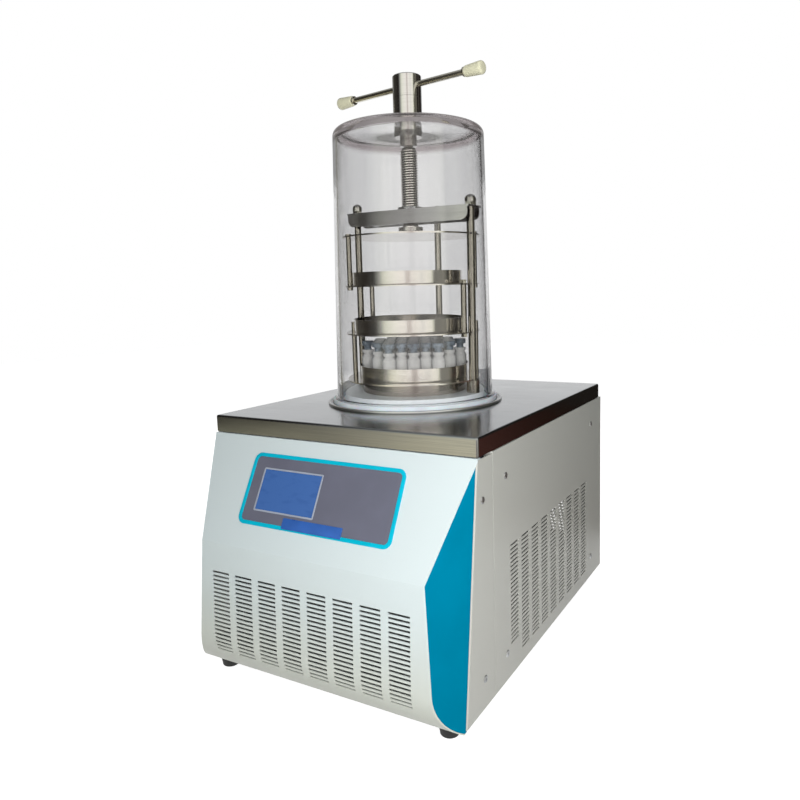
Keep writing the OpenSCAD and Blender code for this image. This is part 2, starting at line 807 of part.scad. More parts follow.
// Blue screen module that fills the window from behind
module screen() {
    inset = 2 * bezel_band + facet_gap;
    color("royalblue") from_top() on_slope() {
        translate([bezel_cx(), bezel_cy(), -sheet])
            linear_extrude(sheet + overlay_t) square([bezel_w - inset, bezel_h - inset], center = true);
        translate([bezel_cx(), bezel_cy(), -sheet - screen_t])
            linear_extrude(screen_t) square([bezel_w + bezel_band, bezel_h + bezel_band], center = true);
    }
}

// Blank blue strip that laps over the frame's lower band
module label_strip() {
    color("mediumblue") from_top() on_slope() translate([strip_cx(), strip_cy(), overlay_t])
        linear_extrude(strip_t) round_rect(strip_w, strip_h, 1);
}

// Controller board on the back of the screen module
module controller_board() {
    board_w = bezel_w + 14;
    board_h = bezel_h + 6;
    color("seagreen") from_top() on_slope()
        translate([bezel_cx(), bezel_cy(), -sheet - screen_t - board_t]) {
        translate([-board_w / 2, -board_h / 2, 0]) cube([board_w, board_h, board_t]);
        for (x = [-30, -6, 24]) translate([x, -board_h / 9, -4]) cube([board_h / 4, board_h / 4, 4 + eps]);
        for (x = [-38, 12]) translate([x, board_h / 2 - 12, -9]) cube([24, 8, 9 + eps]);
    }
}

// --- Chamber -------------------------------------------------------------

// Cold trap: drawn pot with its flange and the welded vacuum port
module cold_trap() {
    pot_r = trap_d / 2;
    port_l = back_y + port_reach - trap_y;
    corner = 20;
    color("lightsteelblue") on_axis() difference() {
        union() {
            rotate_extrude() {
                translate([0, -trap_depth - trap_wall]) square([pot_r + trap_wall - corner, corner]);
                translate([0, -trap_depth - trap_wall + corner])
                    square([pot_r + trap_wall, trap_depth + trap_wall - corner]);
                translate([pot_r + trap_wall - corner, -trap_depth - trap_wall + corner]) intersection() {
                    circle(corner);
                    translate([0, -corner]) square(corner);
                }
                square([gasket_d / 2, flange_t]);
            }
            translate([0, 0, -port_drop]) rotate([-90, 0, 0]) cylinder(d = port_tube_d, h = port_l);
            translate([0, port_l, -port_drop]) rotate([90, 0, 0]) {
                cylinder(d = port_flange_d, h = port_flange_t);
                translate([0, 0, port_flange_t])
                    cylinder(d1 = port_flange_d, d2 = port_tube_d, h = port_flange_t / 2);
            }
        }
        rotate_extrude() {
            translate([0, -trap_depth]) square([pot_r - corner, corner]);
            translate([0, -trap_depth + corner]) square([pot_r, far]);
            translate([pot_r - corner, -trap_depth + corner]) intersection() {
                circle(corner);
                translate([0, -corner]) square(corner);
            }
        }
        translate([0, 0, -port_drop]) rotate([-90, 0, 0]) cylinder(d = port_bore_d, h = far);
        translate([0, 0, -trap_depth - far / 2]) cylinder(d = drain_bore(), h = far / 2 + 1, $fn = 48);
    }
}

function drain_bore() = 8;
function drain_tube_d() = 10;

// Bright seat ring pressed around the gasket
module seat_ring() {
    bead = seat_w / 2;
    color("silver") on_axis() rotate_extrude() {
        translate([seat_d / 2 - seat_w, 0]) square([seat_w, seat_h - bead / 2]);
        translate([seat_d / 2 - bead, seat_h - bead / 2]) intersection() {
            scale([1, 0.5]) circle(bead);
            translate([-bead, 0]) square(seat_w);
        }
    }
}

// White silicone gasket with an outer lip
module gasket() {
    foot_r = bell_d / 2 + bell_foot_out + facet_gap;
    color("whitesmoke") on_axis() rotate_extrude() {
        translate([rack_d / 2 + seat_clear, flange_t])
            square([gasket_d / 2 - rack_d / 2 - seat_clear, gasket_t]);
        translate([foot_r, flange_t]) square([gasket_d / 2 - foot_r, gasket_t + gasket_lip]);
    }
}

// Clear bell, moulded with a little draft, with a flat top and a bored boss for the gland
module bell() {
    edge_z = bell_h - bell_edge_r;
    color([0.85, 0.88, 0.9, 0.3]) on_axis() translate([0, 0, bell_foot_z]) rotate_extrude() difference() {
        union() {
            polygon([[0, 0], [bell_d / 2, 0], [bell_top_d / 2, edge_z], [0, edge_z]]);
            translate([0, edge_z - eps]) square([bell_top_d / 2 - bell_edge_r, bell_edge_r + eps]);
            translate([bell_top_d / 2 - bell_edge_r, edge_z]) intersection() {
                circle(bell_edge_r);
                square(bell_edge_r);
            }
            square([bell_d / 2 + bell_foot_out, bell_foot_h]);
        }
        bell_inside();
        translate([-1, 0]) square([gland_bore_d() / 2 + 1, far]);
    }
}

// Half section of the space inside the bell, measured from its foot
module bell_inside() {
    top_r = bell_top_d / 2 - bell_wall;
    h = bell_h - bell_top_t;
    polygon([[-1, -1], [bell_d / 2 - bell_wall, -1], [bell_d / 2 - bell_wall, 0],
        [top_r, h - bell_inner_r], [-1, h - bell_inner_r]]);
    translate([-1, h - bell_inner_r - eps]) square([top_r - bell_inner_r + 1, bell_inner_r + eps]);
    translate([top_r - bell_inner_r, h - bell_inner_r]) intersection() {
        circle(bell_inner_r);
        square(bell_inner_r);
    }
}

function gland_bore_d() = head_d - 1;

// Gland: turned housing screwed into the bell's top, bored for the drive shaft and its two seals
module gland() {
    color("silver") on_axis() difference() {
        union() {
            translate([0, 0, bell_ceiling]) cylinder(d = gland_bore_d(), h = bell_top_t + 1);
            translate([0, 0, bell_top_z]) cylinder(d = head_d, h = gland_h - thrust_play);
        }
        translate([0, 0, bell_ceiling - 1]) cylinder(d = shaft_d + 2 * run_gap, h = far);
        for (z = seal_levels()) translate([0, 0, z - seal_t() / 2 - 0.2])
            cylinder(d = shaft_d + 2 * seal_t() + 1, h = seal_t() + 0.4);
    }
}

function seal_levels() = [bell_top_z + 12, bell_top_z + 34];
function seal_t() = 2.6;

// Two O-rings around the drive shaft
module shaft_seals() {
    color("#202020") on_axis() for (z = seal_levels()) translate([0, 0, z]) rotate_extrude()
        translate([shaft_d / 2 + seal_t() / 2 + 0.1, 0]) circle(d = seal_t(), $fn = 32);
}

// Drive shaft: journal in the gland, collar under the bell's top and hexagon inside the press screw
module drive_shaft() {
    hex_l = press_stroke + 3 * hex_d;
    color("lightgray") on_axis() difference() {
        union() {
            translate([0, 0, bell_ceiling - collar_h]) cylinder(d = collar_d, h = collar_h - thrust_play);
            translate([0, 0, bell_ceiling - collar_h])
                cylinder(d = shaft_d, h = shaft_top() - bell_ceiling + collar_h);
            translate([0, 0, bell_ceiling - collar_h - hex_l])
                cylinder(d = hex_d, h = hex_l + eps, $fn = 6);
        }
        translate([0, 0, t_bar_z]) rotate([0, 90, t_bar_turn])
            cylinder(d = t_bar_d, h = far, center = true);
    }
}

function shaft_top() = head_z + head_h - 6;

// Handle head with the cross hole for the bar
module handle_head() {
    color("silver") on_axis() difference() {
        translate([0, 0, head_z]) union() {
            cylinder(d = head_d, h = head_h - head_chamfer);
            translate([0, 0, head_h - head_chamfer])
                cylinder(d1 = head_d, d2 = head_d - 2 * head_chamfer, h = head_chamfer);
        }
        translate([0, 0, head_z - 1]) cylinder(d = shaft_d, h = shaft_top() - head_z + 1);
        translate([0, 0, t_bar_z]) rotate([0, 90, t_bar_turn])
            cylinder(d = t_bar_d, h = far, center = true);
    }
}

// Cross bar of the handle, turned with a shoulder beside each knob
module t_bar() {
    reach = knob_reach - knob_l / 2;
    shoulder = 5;
    color("dimgray") on_axis() translate([0, 0, t_bar_z]) rotate([0, 90, t_bar_turn]) {
        cylinder(d = t_bar_d, h = 2 * reach, center = true);
        for (s = [-1, 1]) translate([0, 0, s * (knob_reach - knob_l - shoulder / 2)])
            cylinder(d = knob_neck_d - 2, h = shoulder, center = true);
    }
}

// Two moulded knobs, narrow towards the head
module knobs() {
    edge = 2.5;
    color("#e9e6c4") on_axis() translate([0, 0, t_bar_z]) for (s = [0, 180]) rotate([0, 0, t_bar_turn + s])
        rotate([0, 90, 0]) translate([0, 0, knob_reach - knob_l]) difference() {
            rotate_extrude() {
                polygon([[0, 0], [knob_neck_d / 2 - edge / 2, 0], [knob_neck_d / 2, edge / 2],
                    [knob_d / 2, knob_l - edge], [0, knob_l - edge]]);
                translate([0, knob_l - edge - eps]) square([knob_d / 2 - edge, edge + eps]);
                translate([knob_d / 2 - edge, knob_l - edge]) intersection() {
                    circle(edge, $fn = 32);
                    square(edge);
                }
            }
            translate([0, 0, -1]) cylinder(d = t_bar_d, h = knob_l / 2 + 1);
        }
}

// --- Rack ----------------------------------------------------------------

// Base disc of the rack, open in the middle above the cold trap
module rack_base() {
    rim = 7;
    top_t = 5;
    color("gainsboro") on_axis() difference() {
        translate([0, 0, flange_t]) cylinder(d = rack_d, h = rack_h);
        translate([0, 0, flange_t - 1]) cylinder(d = rack_d - 2 * rim, h = rack_h - top_t + 1);
        cylinder(d = rack_bore_d, h = far);
    }
}

// Polished ring that lifts the lowest shelf and leads the vapour down, open at the rear
module vapour_guide() {
    color("silver") on_axis() translate([0, 0, rack_top]) difference() {
        tube(guide_d, guide_d - 2 * guide_wall, guide_h);
        for (a = [50, 90, 130]) rotate(a) translate([guide_d / 2, 0, guide_h / 2])
            cube([guide_d / 4, guide_d / 5, guide_h / 2], center = true);
    }
}

// Three turned columns with wide feet
module columns() {
    color("lightgray") on_axis() on_ring(column_ring_r, column_turns) {
        translate([0, 0, rack_top]) cylinder(d = column_foot_d, h = guide_h);
        translate([0, 0, rack_top]) cylinder(d = column_d, h = bar_top + stud_h() - rack_top);
    }
}

function stud_h() = 9;

// Acorn nuts on top of the columns
module cap_nuts() {
    nut_d = 17.5;
    nut_h = 8;
    dome_r = 8;
    top = 17;
    color("silver") on_axis() on_ring(column_ring_r, column_turns) translate([0, 0, bar_top]) difference() {
        union() {
            cylinder(d = nut_d, h = nut_h, $fn = 6);
            cylinder(r = dome_r - 1, h = top - dome_r);
            translate([0, 0, top - dome_r]) sphere(dome_r - 1);
        }
        translate([0, 0, -1]) cylinder(d = column_d, h = stud_h() + 1);
    }
}

// Crossbar: folded channel with rounded ends and an arm to the rear column
module crossbar() {
    color("darkgray") on_axis() {
        translate([0, 0, bar_top - bar_t]) linear_extrude(bar_t) bar_outline();
        for (s = [-1, 1]) translate([0, s * (bar_w - bar_t) / 2, bar_top]) bar_flange();
    }
}

// The crossbar's plate with its rear arm and its four holes
module bar_outline() {
    arm_root = bar_w / 2 - bar_t;
    difference() {
        intersection() {
            union() {
                square([bar_l, bar_w], center = true);
                rotate(column_turns[1] - 90) translate([-arm_w / 2, arm_root]) square([arm_w, bar_l / 2]);
            }
            circle(d = bar_l);
        }
        on_ring(column_ring_r, column_turns) circle(d = column_d);
        circle(d = nut_body_d);
    }
}

// One flange of the crossbar with rounded lower corners, hanging down from Z 0
module bar_flange() {
    flange_l = bar_l - 8;
    rotate([90, 0, 0]) translate([0, 0, -bar_t / 2]) linear_extrude(bar_t) intersection() {
        translate([-flange_l / 2, -bar_h]) square([flange_l, bar_h - bar_t + eps]);
        union() {
            translate([-flange_l / 2, -bar_h + bar_corner_r]) square([flange_l, bar_h]);
            translate([-flange_l / 2 + bar_corner_r, -bar_h]) square([flange_l - 2 * bar_corner_r, bar_h]);
            for (s = [-1, 1]) translate([s * (flange_l / 2 - bar_corner_r), -bar_h + bar_corner_r])
                circle(bar_corner_r);
        }
    }
}

// Flanged nut of the crossbar
module bar_nut() {
    color("silver") on_axis() difference() {
        union() {
            translate([0, 0, bar_top]) cylinder(d = nut_flange_d, h = nut_flange_t);
            translate([0, 0, bar_top - bar_h + bar_t]) cylinder(d = nut_body_d, h = bar_h - bar_t + eps);
        }
        translate([0, 0, bar_top - bar_h]) cylinder(d = screw_rod_d + 2 * run_gap, h = far);
    }
}

// Press screw, bored with a hexagon for the drive shaft
module press_screw() {
    color("gray") on_axis() difference() {
        union() {
            translate([0, 0, thrust_top + thrust_play])
                cylinder(d = screw_rod_d, h = screw_top - thrust_top - thrust_play);
            translate([0, 0, journal_z()])
                cylinder(d = journal_d, h = thrust_top + thrust_play - journal_z() + eps);
        }
        translate([0, 0, journal_z() + 2]) cylinder(d = hex_d + hex_gap, h = far, $fn = 6);
    }
}

function journal_z() = disc_z + disc_t + 2 * thrust_play;

// Thrust collar welded to the press disc
module thrust_collar() {
    color("silver") on_axis() difference() {
        union() {
            translate([0, 0, disc_z + disc_t]) cylinder(d = hub_d, h = hub_h + eps);
            translate([0, 0, thrust_top - thrust_h]) cylinder(d = thrust_d, h = thrust_h);
        }
        translate([0, 0, disc_z + disc_t + thrust_play]) cylinder(d = journal_d + 2 * run_gap, h = far);
    }
}

// A round plate with notches for the columns, holes for studs and holes that slide on rods
module plate(d, t, stud_turns, rod_turns) {
    notch = column_d / 2 + slide_gap;
    difference() {
        cylinder(d = d, h = t);
        on_ring(column_ring_r, column_turns) {
            translate([0, 0, -1]) cylinder(r = notch, h = t + 2);
            translate([0, -notch, -1]) cube([column_d, 2 * notch, t + 2]);
        }
        on_ring(rod_ring_r, stud_turns) translate([0, 0, -1]) cylinder(d = stud_d, h = t + 2, $fn = 48);
        on_ring(rod_ring_r, rod_turns) translate([0, 0, -1])
            cylinder(d = rod_d + 2 * slide_gap, h = t + 2, $fn = 48);
    }
}

// Press disc, hung from the screw by its thrust collar
module press_disc() {
    color("lightgray") on_axis() translate([0, 0, disc_z]) plate(disc_d, disc_t, upper_turns, []);
}

module shelf_top() {
    color("silver") on_axis() translate([0, 0, shelf_z[2] - shelf_t])
        plate(shelf_d, shelf_t, concat(upper_turns, middle_turns), []);
}

module shelf_middle() {
    color("silver") on_axis() translate([0, 0, shelf_z[1] - shelf_t])
        plate(shelf_d, shelf_t, middle_turns, lower_turns);
}

module shelf_bottom() {
    color("silver") on_axis() translate([0, 0, shelf_z[0] - shelf_t])
        plate(shelf_d, shelf_t, lower_turns, []);
}

// A rod between the faces of two plates, with a stud and a nut through each plate that has a thickness
module hanging_rod(z0, z1, low_t, high_t) {
    translate([0, 0, z0]) cylinder(d = rod_d, h = z1 - z0, $fn = 48);
    if (low_t > 0) translate([0, 0, z0]) mirror([0, 0, 1]) stud_and_nut(low_t);
    if (high_t > 0) translate([0, 0, z1]) stud_and_nut(high_t);
}

module stud_and_nut(t) {
    cylinder(d = stud_d, h = t + rod_nut_h, $fn = 48);
    translate([0, 0, t]) cylinder(d = rod_nut_d, h = rod_nut_h, $fn = 6);
}

// Rods that hang the top shelf from the press disc
module upper_hangers() {
    color("gray") on_axis() on_ring(rod_ring_r, upper_turns)
        hanging_rod(shelf_z[2], disc_z, shelf_t, disc_t);
}

// Rods that hang the middle shelf from the top shelf
module middle_hangers() {
    color("gray") on_axis() on_ring(rod_ring_r, middle_turns)
        hanging_rod(shelf_z[1], shelf_z[2] - shelf_t, shelf_t, shelf_t);
}

// Rods on the lowest shelf that guide the middle shelf
module lower_guides() {
    color("gray") on_axis() on_ring(rod_ring_r, lower_turns)
        hanging_rod(shelf_z[0], shelf_z[1] + guide_rod_up, shelf_t, 0);
}

// A dished tray on its shelf, counted from the bottom
module tray(i) {
    bend = 2;
    color("lightgray") on_axis() translate([tray_shift[i][0], tray_shift[i][1], shelf_z[i]]) difference() {
        union() {
            translate([0, 0, bend]) cylinder(d = tray_d, h = tray_h - bend);
            cylinder(d = tray_d - 2 * bend, h = tray_h);
            rotate_extrude() translate([tray_d / 2 - bend, bend]) circle(bend, $fn = 32);
        }
        translate([0, 0, tray_t]) cylinder(d = tray_d - 2 * tray_t - bend, h = far);
        translate([0, 0, bend]) cylinder(d = tray_d - 2 * tray_t, h = far);
    }
}

module tray_top() {
    tray(2);
}

module tray_middle() {
    tray(1);
}

module tray_bottom() {
    tray(0);
}

// Centres of the vials: a close-packed field cut off at the tray's wall
function vial_places() =
    let (reach = tray_d / 2 - tray_t - vial_d / 2 - 0.6, n = ceil(reach / vial_pitch) + 1)
    [for (row = [-n:n], k = [-n:n])
        let (p = [(k + abs(row % 2) / 2) * vial_pitch, row * vial_pitch * sqrt(3) / 2])
        if (norm(p) <= reach) p];

// Puts one vial's place after another on the lowest tray
module on_vials() {
    on_axis() translate([tray_shift[0][0], tray_shift[0][1], shelf_z[0] + tray_t])
        for (p = vial_places()) translate(p) children();
}

// Blown glass vials
module vials() {
    r = vial_d / 2;
    shoulder = vial_h - 12;
    neck = vial_h - 5;
    neck_r = vial_lip_d / 2 - 2;
    bore = vial_bore_d / 2;
    lip_r = vial_lip_d / 2;
    color([0.9, 0.95, 0.96, 0.5]) on_vials() rotate_extrude($fn = 32) polygon([
        [0, 0], [r - 1, 0], [r, 1], [r, shoulder], [neck_r, neck - 2], [neck_r, neck], [lip_r, neck],
        [lip_r, vial_h], [bore, vial_h], [bore, neck - 2],
        [r - vial_wall, shoulder - 0.5], [r - vial_wall, vial_wall], [0, vial_wall]]);
}

// Grey rubber stoppers, half inserted
module stoppers() {
    plug_r = vial_bore_d / 2 - 0.3;
    under_r = (vial_lip_d - 1) / 2;
    top_r = stopper_d / 2;
    edge = 1;
    color("slategray") on_vials()
        translate([0, 0, vial_h + stopper_lift]) rotate_extrude($fn = 32) polygon([
        [0, -plug_l + 2], [plug_r - 2.5, -plug_l + 2], [plug_r - 1.5, -plug_l], [plug_r, -plug_l + 3],
        [plug_r, 0], [under_r, 0], [top_r, 2 * edge], [top_r, stopper_h - edge], [top_r - edge, stopper_h],
        [0, stopper_h]]);
}

// --- Refrigeration and services -----------------------------------------

// Copper evaporator wound round the pot: turns joined by a riser
module evaporator_coil() {
    ring_r = coil_ring_r();
    color("peru") on_axis() {
        for (i = [0:coil_turns() - 1]) translate([0, 0, coil_z(i)]) rotate_extrude()
            translate([ring_r, 0]) circle(d = coil_d, $fn = 32);
        rotate(riser_turn()) translate([ring_r, 0, coil_z(0)])
            cylinder(d = line_d() - 1, h = coil_z(coil_turns() - 1) - coil_z(0), $fn = 32);
        for (a = [riser_turn(), feed_turn()]) rotate(a)
            translate([ring_r, 0, coil_z(0) - coil_d / 2 - coil_tail()])
            cylinder(d = line_d(), h = coil_tail() + coil_d / 2, $fn = 32);
    }
}

function coil_tail() = 4;
function line_d() = 8;
function coil_ring_r() = trap_d / 2 + trap_wall + coil_d / 2 + facet_gap;
function coil_turns() = floor((trap_depth - port_drop - port_tube_d / 2 - coil_d - 1) / coil_pitch) + 1;
function coil_z(i) = -trap_depth + coil_pitch * i + coil_d / 2;
function riser_turn() = -60;
function feed_turn() = 220;
function foam_d() = 2 * (coil_ring_r() + coil_d / 2 + foam_t);
function foam_bottom() = trap_depth + trap_wall + foam_floor;

// Foam jacket around the coil and under the pot
module trap_insulation() {
    color("khaki") on_axis() difference() {
        translate([0, 0, -foam_bottom()])
            cylinder(d = foam_d(), h = foam_bottom() - worktop_t - post_w - 1);
        translate([0, 0, -trap_depth - trap_wall - facet_gap])
            cylinder(d = 2 * coil_ring_r() + coil_d + 2 * facet_gap, h = far);
        translate([0, 0, -port_drop]) rotate([-90, 0, 0])
            cylinder(d = port_tube_d + 2 * facet_gap, h = far);
        translate([0, 0, -far]) cylinder(d = drain_tube_d() + 2 * facet_gap, h = far, $fn = 48);
        for (a = [riser_turn(), feed_turn()]) rotate(a) translate([coil_ring_r(), 0, -far])
            cylinder(d = line_d() + 2 * facet_gap, h = far, $fn = 32);
    }
}

// Hermetic compressor: pressed shell on a foot plate and four dampers, with its terminal box and two stubs
module compressor() {
    r = compressor_d / 2;
    edge = 34;
    plate_rim = 18;
    plate_w = compressor_d + 2 * plate_rim;
    plate_d = compressor_d / 2;
    plate_t = 4;
    damper_d = 18;
    damper_h = 10;
    box = [18, 30, 46];
    color("#26272a") translate([compressor_x(), front_y + compressor_y(), foot_h + base_t]) {
        translate([0, 0, damper_h + plate_t]) rotate_extrude()
            shell_profile(r, compressor_h - damper_h - plate_t, edge);
        translate([-plate_w / 2, -plate_d / 2, damper_h]) cube([plate_w, plate_d, plate_t + edge / 2]);
        for (x = [-1, 1], y = [-1, 1])
            translate([x * (plate_w / 2 - damper_d / 2 - 2), y * (plate_d / 2 - damper_d / 2 - 4), 0])
                cylinder(d = damper_d, h = damper_h + eps, $fn = 48);
        translate([r - box[0] / 4, -box[1] / 2, compressor_h / 2]) cube(box);
        for (z = [suction_up(), discharge_up()]) translate([-r - stub_l(), 0, z]) rotate([0, 90, 0])
            cylinder(d = line_d() + 3, h = stub_l() + r / 2, $fn = 32);
    }
}

// Half section of a closed round shell with rounded edges
module shell_profile(r, h, edge) {
    square([r - edge, h]);
    translate([0, edge]) square([r, h - 2 * edge]);
    for (z = [edge, h - edge]) translate([r - edge, z]) intersection() {
        circle(edge);
        translate([-eps, -edge]) square([edge + 1, 2 * edge]);
    }
}

function stub_l() = 12;
function suction_up() = 120;
function discharge_up() = 92;
function compressor_x() = 70;
function compressor_y() = worktop_d - 30 - compressor_d / 2;

// Condenser: end plates, fins and hairpin tubes behind the front slots
module condenser() {
    plate_t = 2;
    tube_d = 10;
    fin_pitch = (condenser_w - 2 * plate_t) / (condenser_fins + 1);
    color("silver") translate([0, front_y + condenser_y(), foot_h + base_t]) {
        for (x = [-condenser_w / 2, condenser_w / 2 - plate_t]) translate([x, 0, 0])
            cube([plate_t, condenser_t, condenser_h]);
        for (i = [1:condenser_fins]) translate([-condenser_w / 2 + plate_t + i * fin_pitch, 1, 6])
            cube([0.8, condenser_t - 2, condenser_h - 12]);
        for (r = [0:tube_rows() - 1])
            translate([-condenser_w / 2 - tube_out(), condenser_t / 2, tube_up(r)])
            rotate([0, 90, 0]) cylinder(d = tube_d, h = condenser_w + 2 * tube_out(), $fn = 32);
        translate([-condenser_w / 2, 0, 0]) cube([condenser_w, condenser_t, plate_t]);
    }
}

function tube_rows() = 6;
function tube_out() = 6;
function tube_up(r) = (r + 0.5) * condenser_h / tube_rows();
function condenser_y() = -26;
function fan_gap() = 2;
function shroud_l() = fan_blade_d + 8;
function fan_y() = condenser_y() + condenser_t + 4;
function fan_z() = foot_h + base_t + condenser_h / 2;

// Fan shroud: a square plate with a ring, and the motor on four arms
module fan_mount() {
    plate_t = 2;
    motor_d = 60;
    motor_l = 30;
    arm_w = 6;
    ring_d = fan_d + 10;
    ring_l = shroud_l();
    side = condenser_h;
    color("dimgray") translate([0, front_y + fan_y(), fan_z()]) {
        rotate([-90, 0, 0]) {
            difference() {
                translate([-side / 2, -side / 2, 0]) cube([side, side, plate_t]);
                translate([0, 0, -1]) cylinder(d = ring_d, h = plate_t + 2);
            }
            tube(ring_d + 2 * plate_t, ring_d, ring_l);
            translate([0, 0, ring_l]) cylinder(d = motor_d, h = motor_l);
            for (a = [0, 90]) rotate(a) translate([-ring_d / 2 - plate_t, -arm_w / 2, ring_l])
                cube([ring_d + 2 * plate_t, arm_w, plate_t]);
        }
    }
}

// Fan rotor: hub and pitched blades
module fan_rotor() {
    hub = 44;
    shaft = 8;
    blade_t = 2;
    pitch = 28;
    color("#303236") translate([0, front_y + fan_y() + fan_blade_d / 2 + fan_gap(), fan_z()])
        rotate([-90, 0, 0]) {
        translate([0, 0, -fan_blade_d / 2]) cylinder(d = hub, h = fan_blade_d);
        cylinder(d = shaft, h = shroud_l() - fan_gap() - fan_blade_d / 2 - thrust_play, $fn = 48);
        intersection() {
            translate([0, 0, -fan_blade_d / 2]) cylinder(d = fan_d, h = fan_blade_d);
            for (i = [0:fan_blades - 1]) rotate(i * 360 / fan_blades) rotate([pitch, 0, 0])
                translate([hub / 2 - 4, -hub / 2, -blade_t / 2]) cube([fan_d / 2, hub, blade_t]);
        }
    }
}

// A round line through points that lie along the axes from one another
module line_run(points, d = line_d()) {
    for (i = [0:len(points) - 2]) {
        a = points[i];
        b = points[i + 1];
        l = norm(b - a);
        translate(a) rotate([0, acos((b[2] - a[2]) / l), atan2(b[1] - a[1], b[0] - a[0])])
            cylinder(d = d, h = l, $fn = 32);
        if (i > 0) translate(a) sphere(d = d, $fn = 32);
    }
}

// Copper lines: coil to compressor, compressor to condenser, and condenser to coil through the drier
module refrigerant_lines() {
    tail_z = coil_z(0) - coil_d / 2 - coil_tail();
    turn_z = -foam_bottom() - 12;
    riser = coil_end(riser_turn());
    feed = coil_end(feed_turn());
    pump = [compressor_x() - compressor_d / 2 - stub_l(), compressor_y()];
    pump_side = pump[0] - 24;
    floor_z = -body_h + base_t;
    suction_z = floor_z + suction_up();
    discharge_z = floor_z + discharge_up();
    core = [-condenser_w / 2 - tube_out(), condenser_y() + condenser_t / 2];
    hot_x = core[0] - 24;
    hot_z = floor_z + tube_up(tube_rows() - 1);
    cool_x = core[0] - 10;
    cool_z = floor_z + tube_up(0);
    drier_d = 20;
    drier_l = 80;
    color("peru") from_top() {
        line_run([[riser[0], riser[1], tail_z], [riser[0], riser[1], turn_z], [pump_side, riser[1], turn_z],
            [pump_side, pump[1], turn_z], [pump_side, pump[1], suction_z], [pump[0], pump[1], suction_z]]);
        line_run([[pump[0], pump[1], discharge_z], [hot_x, pump[1], discharge_z], [hot_x, pump[1], hot_z],
            [hot_x, core[1], hot_z], [core[0], core[1], hot_z]]);
        line_run([[core[0], core[1], cool_z], [cool_x, core[1], cool_z], [cool_x, feed[1], cool_z],
            [feed[0], feed[1], cool_z], [feed[0], feed[1], tail_z]]);
        translate([cool_x, (core[1] + feed[1] - drier_l) / 2, cool_z]) rotate([-90, 0, 0])
            cylinder(d = drier_d, h = drier_l, $fn = 48);
    }
}

function coil_end(turn) = [trap_x + coil_ring_r() * cos(turn), trap_y + coil_ring_r() * sin(turn)];

// Drain and vent valve: the tube from the pot, the body and the hose tail behind the rear pan
module drain_valve() {
    low = -valve_drop();
    tail_d = 9;
    tail_l = 10;
    bore = 5;
    run = [[trap_x, trap_y, -trap_depth - trap_wall], [trap_x, trap_y, low], [valve_x(), trap_y, low],
        [valve_x(), back_y, low]];
    color("goldenrod") from_top() difference() {
        union() {
            line_run(run, drain_tube_d());
            translate([valve_x(), back_y, low]) rotate([90, 0, 0])
                cylinder(d = valve_d(), h = 1.1 * valve_d(), $fn = 48);
            translate([valve_x(), back_y, low]) rotate([-90, 0, 0]) {
                cylinder(d = 1.4 * valve_d(), h = 2, $fn = 6);
                cylinder(d = valve_d(), h = valve_l(), $fn = 48);
                translate([0, 0, valve_l()]) cylinder(d = tail_d, h = tail_l, $fn = 48);
            }
            translate([valve_x(), stem_y(), low]) cylinder(d = stem_d() + 4, h = stem_up(), $fn = 48);
        }
        translate([valve_x(), back_y - valve_l(), low]) rotate([-90, 0, 0])
            cylinder(d = bore, h = far, $fn = 32);
        translate([valve_x(), stem_y(), low + stem_up() - stem_deep()])
            cylinder(d = stem_d() + 2 * run_gap, h = far, $fn = 48);
    }
}

function valve_l() = 14;
function stem_y() = back_y + valve_l() / 2 + 1;
function stem_d() = 6;
function stem_up() = 14;
function stem_deep() = 5;

// Lever of the drain valve, along X when shut
module valve_lever() {
    lever_l = 34;
    lever_w = 7;
    lever_t = 2.4;
    boss_d = 12;
    color("firebrick") from_top() translate([valve_x(), stem_y(), -valve_drop() + stem_up()]) {
        translate([0, 0, thrust_play - stem_deep()]) cylinder(d = stem_d(), h = stem_deep() + 1, $fn = 48);
        translate([0, 0, thrust_play]) cylinder(d = boss_d, h = 1.5 * lever_t, $fn = 48);
        translate([0, -lever_w / 2, thrust_play]) cube([lever_l, lever_w, lever_t]);
    }
}

// Mains inlet with three blades, and the frame of the rocker above it
module power_inlet() {
    lip = 2.5;
    lip_side = inlet_w() + 2 * lip;
    lip_up = inlet_h() + 2 * lip;
    pocket = [inlet_w() - 6, 21, 18];
    pocket_y = -inlet_h() / 2 + 4;
    switch_side = rocker_w() + 2 * rocker_gap();
    switch_up = rocker_h() + 2 * rocker_gap();
    well = 15;
    body_l = 24;
    blade = [2, 4, 17];
    blade_places = [[-7, 2], [7, 2], [0, -4]];
    color("#18191b") from_top() translate([inlet_x(), back_y, -inlet_drop()])
        rotate([90, 0, 0]) difference() {
        union() {
            translate([-inlet_w() / 2, -inlet_h() / 2, 0]) cube([inlet_w(), inlet_h(), body_l]);
            translate([-lip_side / 2, -lip_up / 2, -lip]) cube([lip_side, lip_up, lip]);
        }
        translate([-pocket[0] / 2, pocket_y, -lip - 1]) cube(pocket);
        translate([-switch_side / 2, rocker_up() - switch_up / 2, -lip - 1])
            cube([switch_side, switch_up, well]);
    }
    color("silver") from_top() translate([inlet_x(), back_y, -inlet_drop() + pocket_y + pocket[1] / 2])
        rotate([90, 0, 0]) for (p = blade_places)
            translate([p[0] - blade[0] / 2, p[1] - blade[1] / 2, -1]) cube(blade);
}

function rocker_w() = 19;
function rocker_h() = 22;
function rocker_up() = 14;
function rocker_gap() = 1;
function rocker_tilt() = 9;

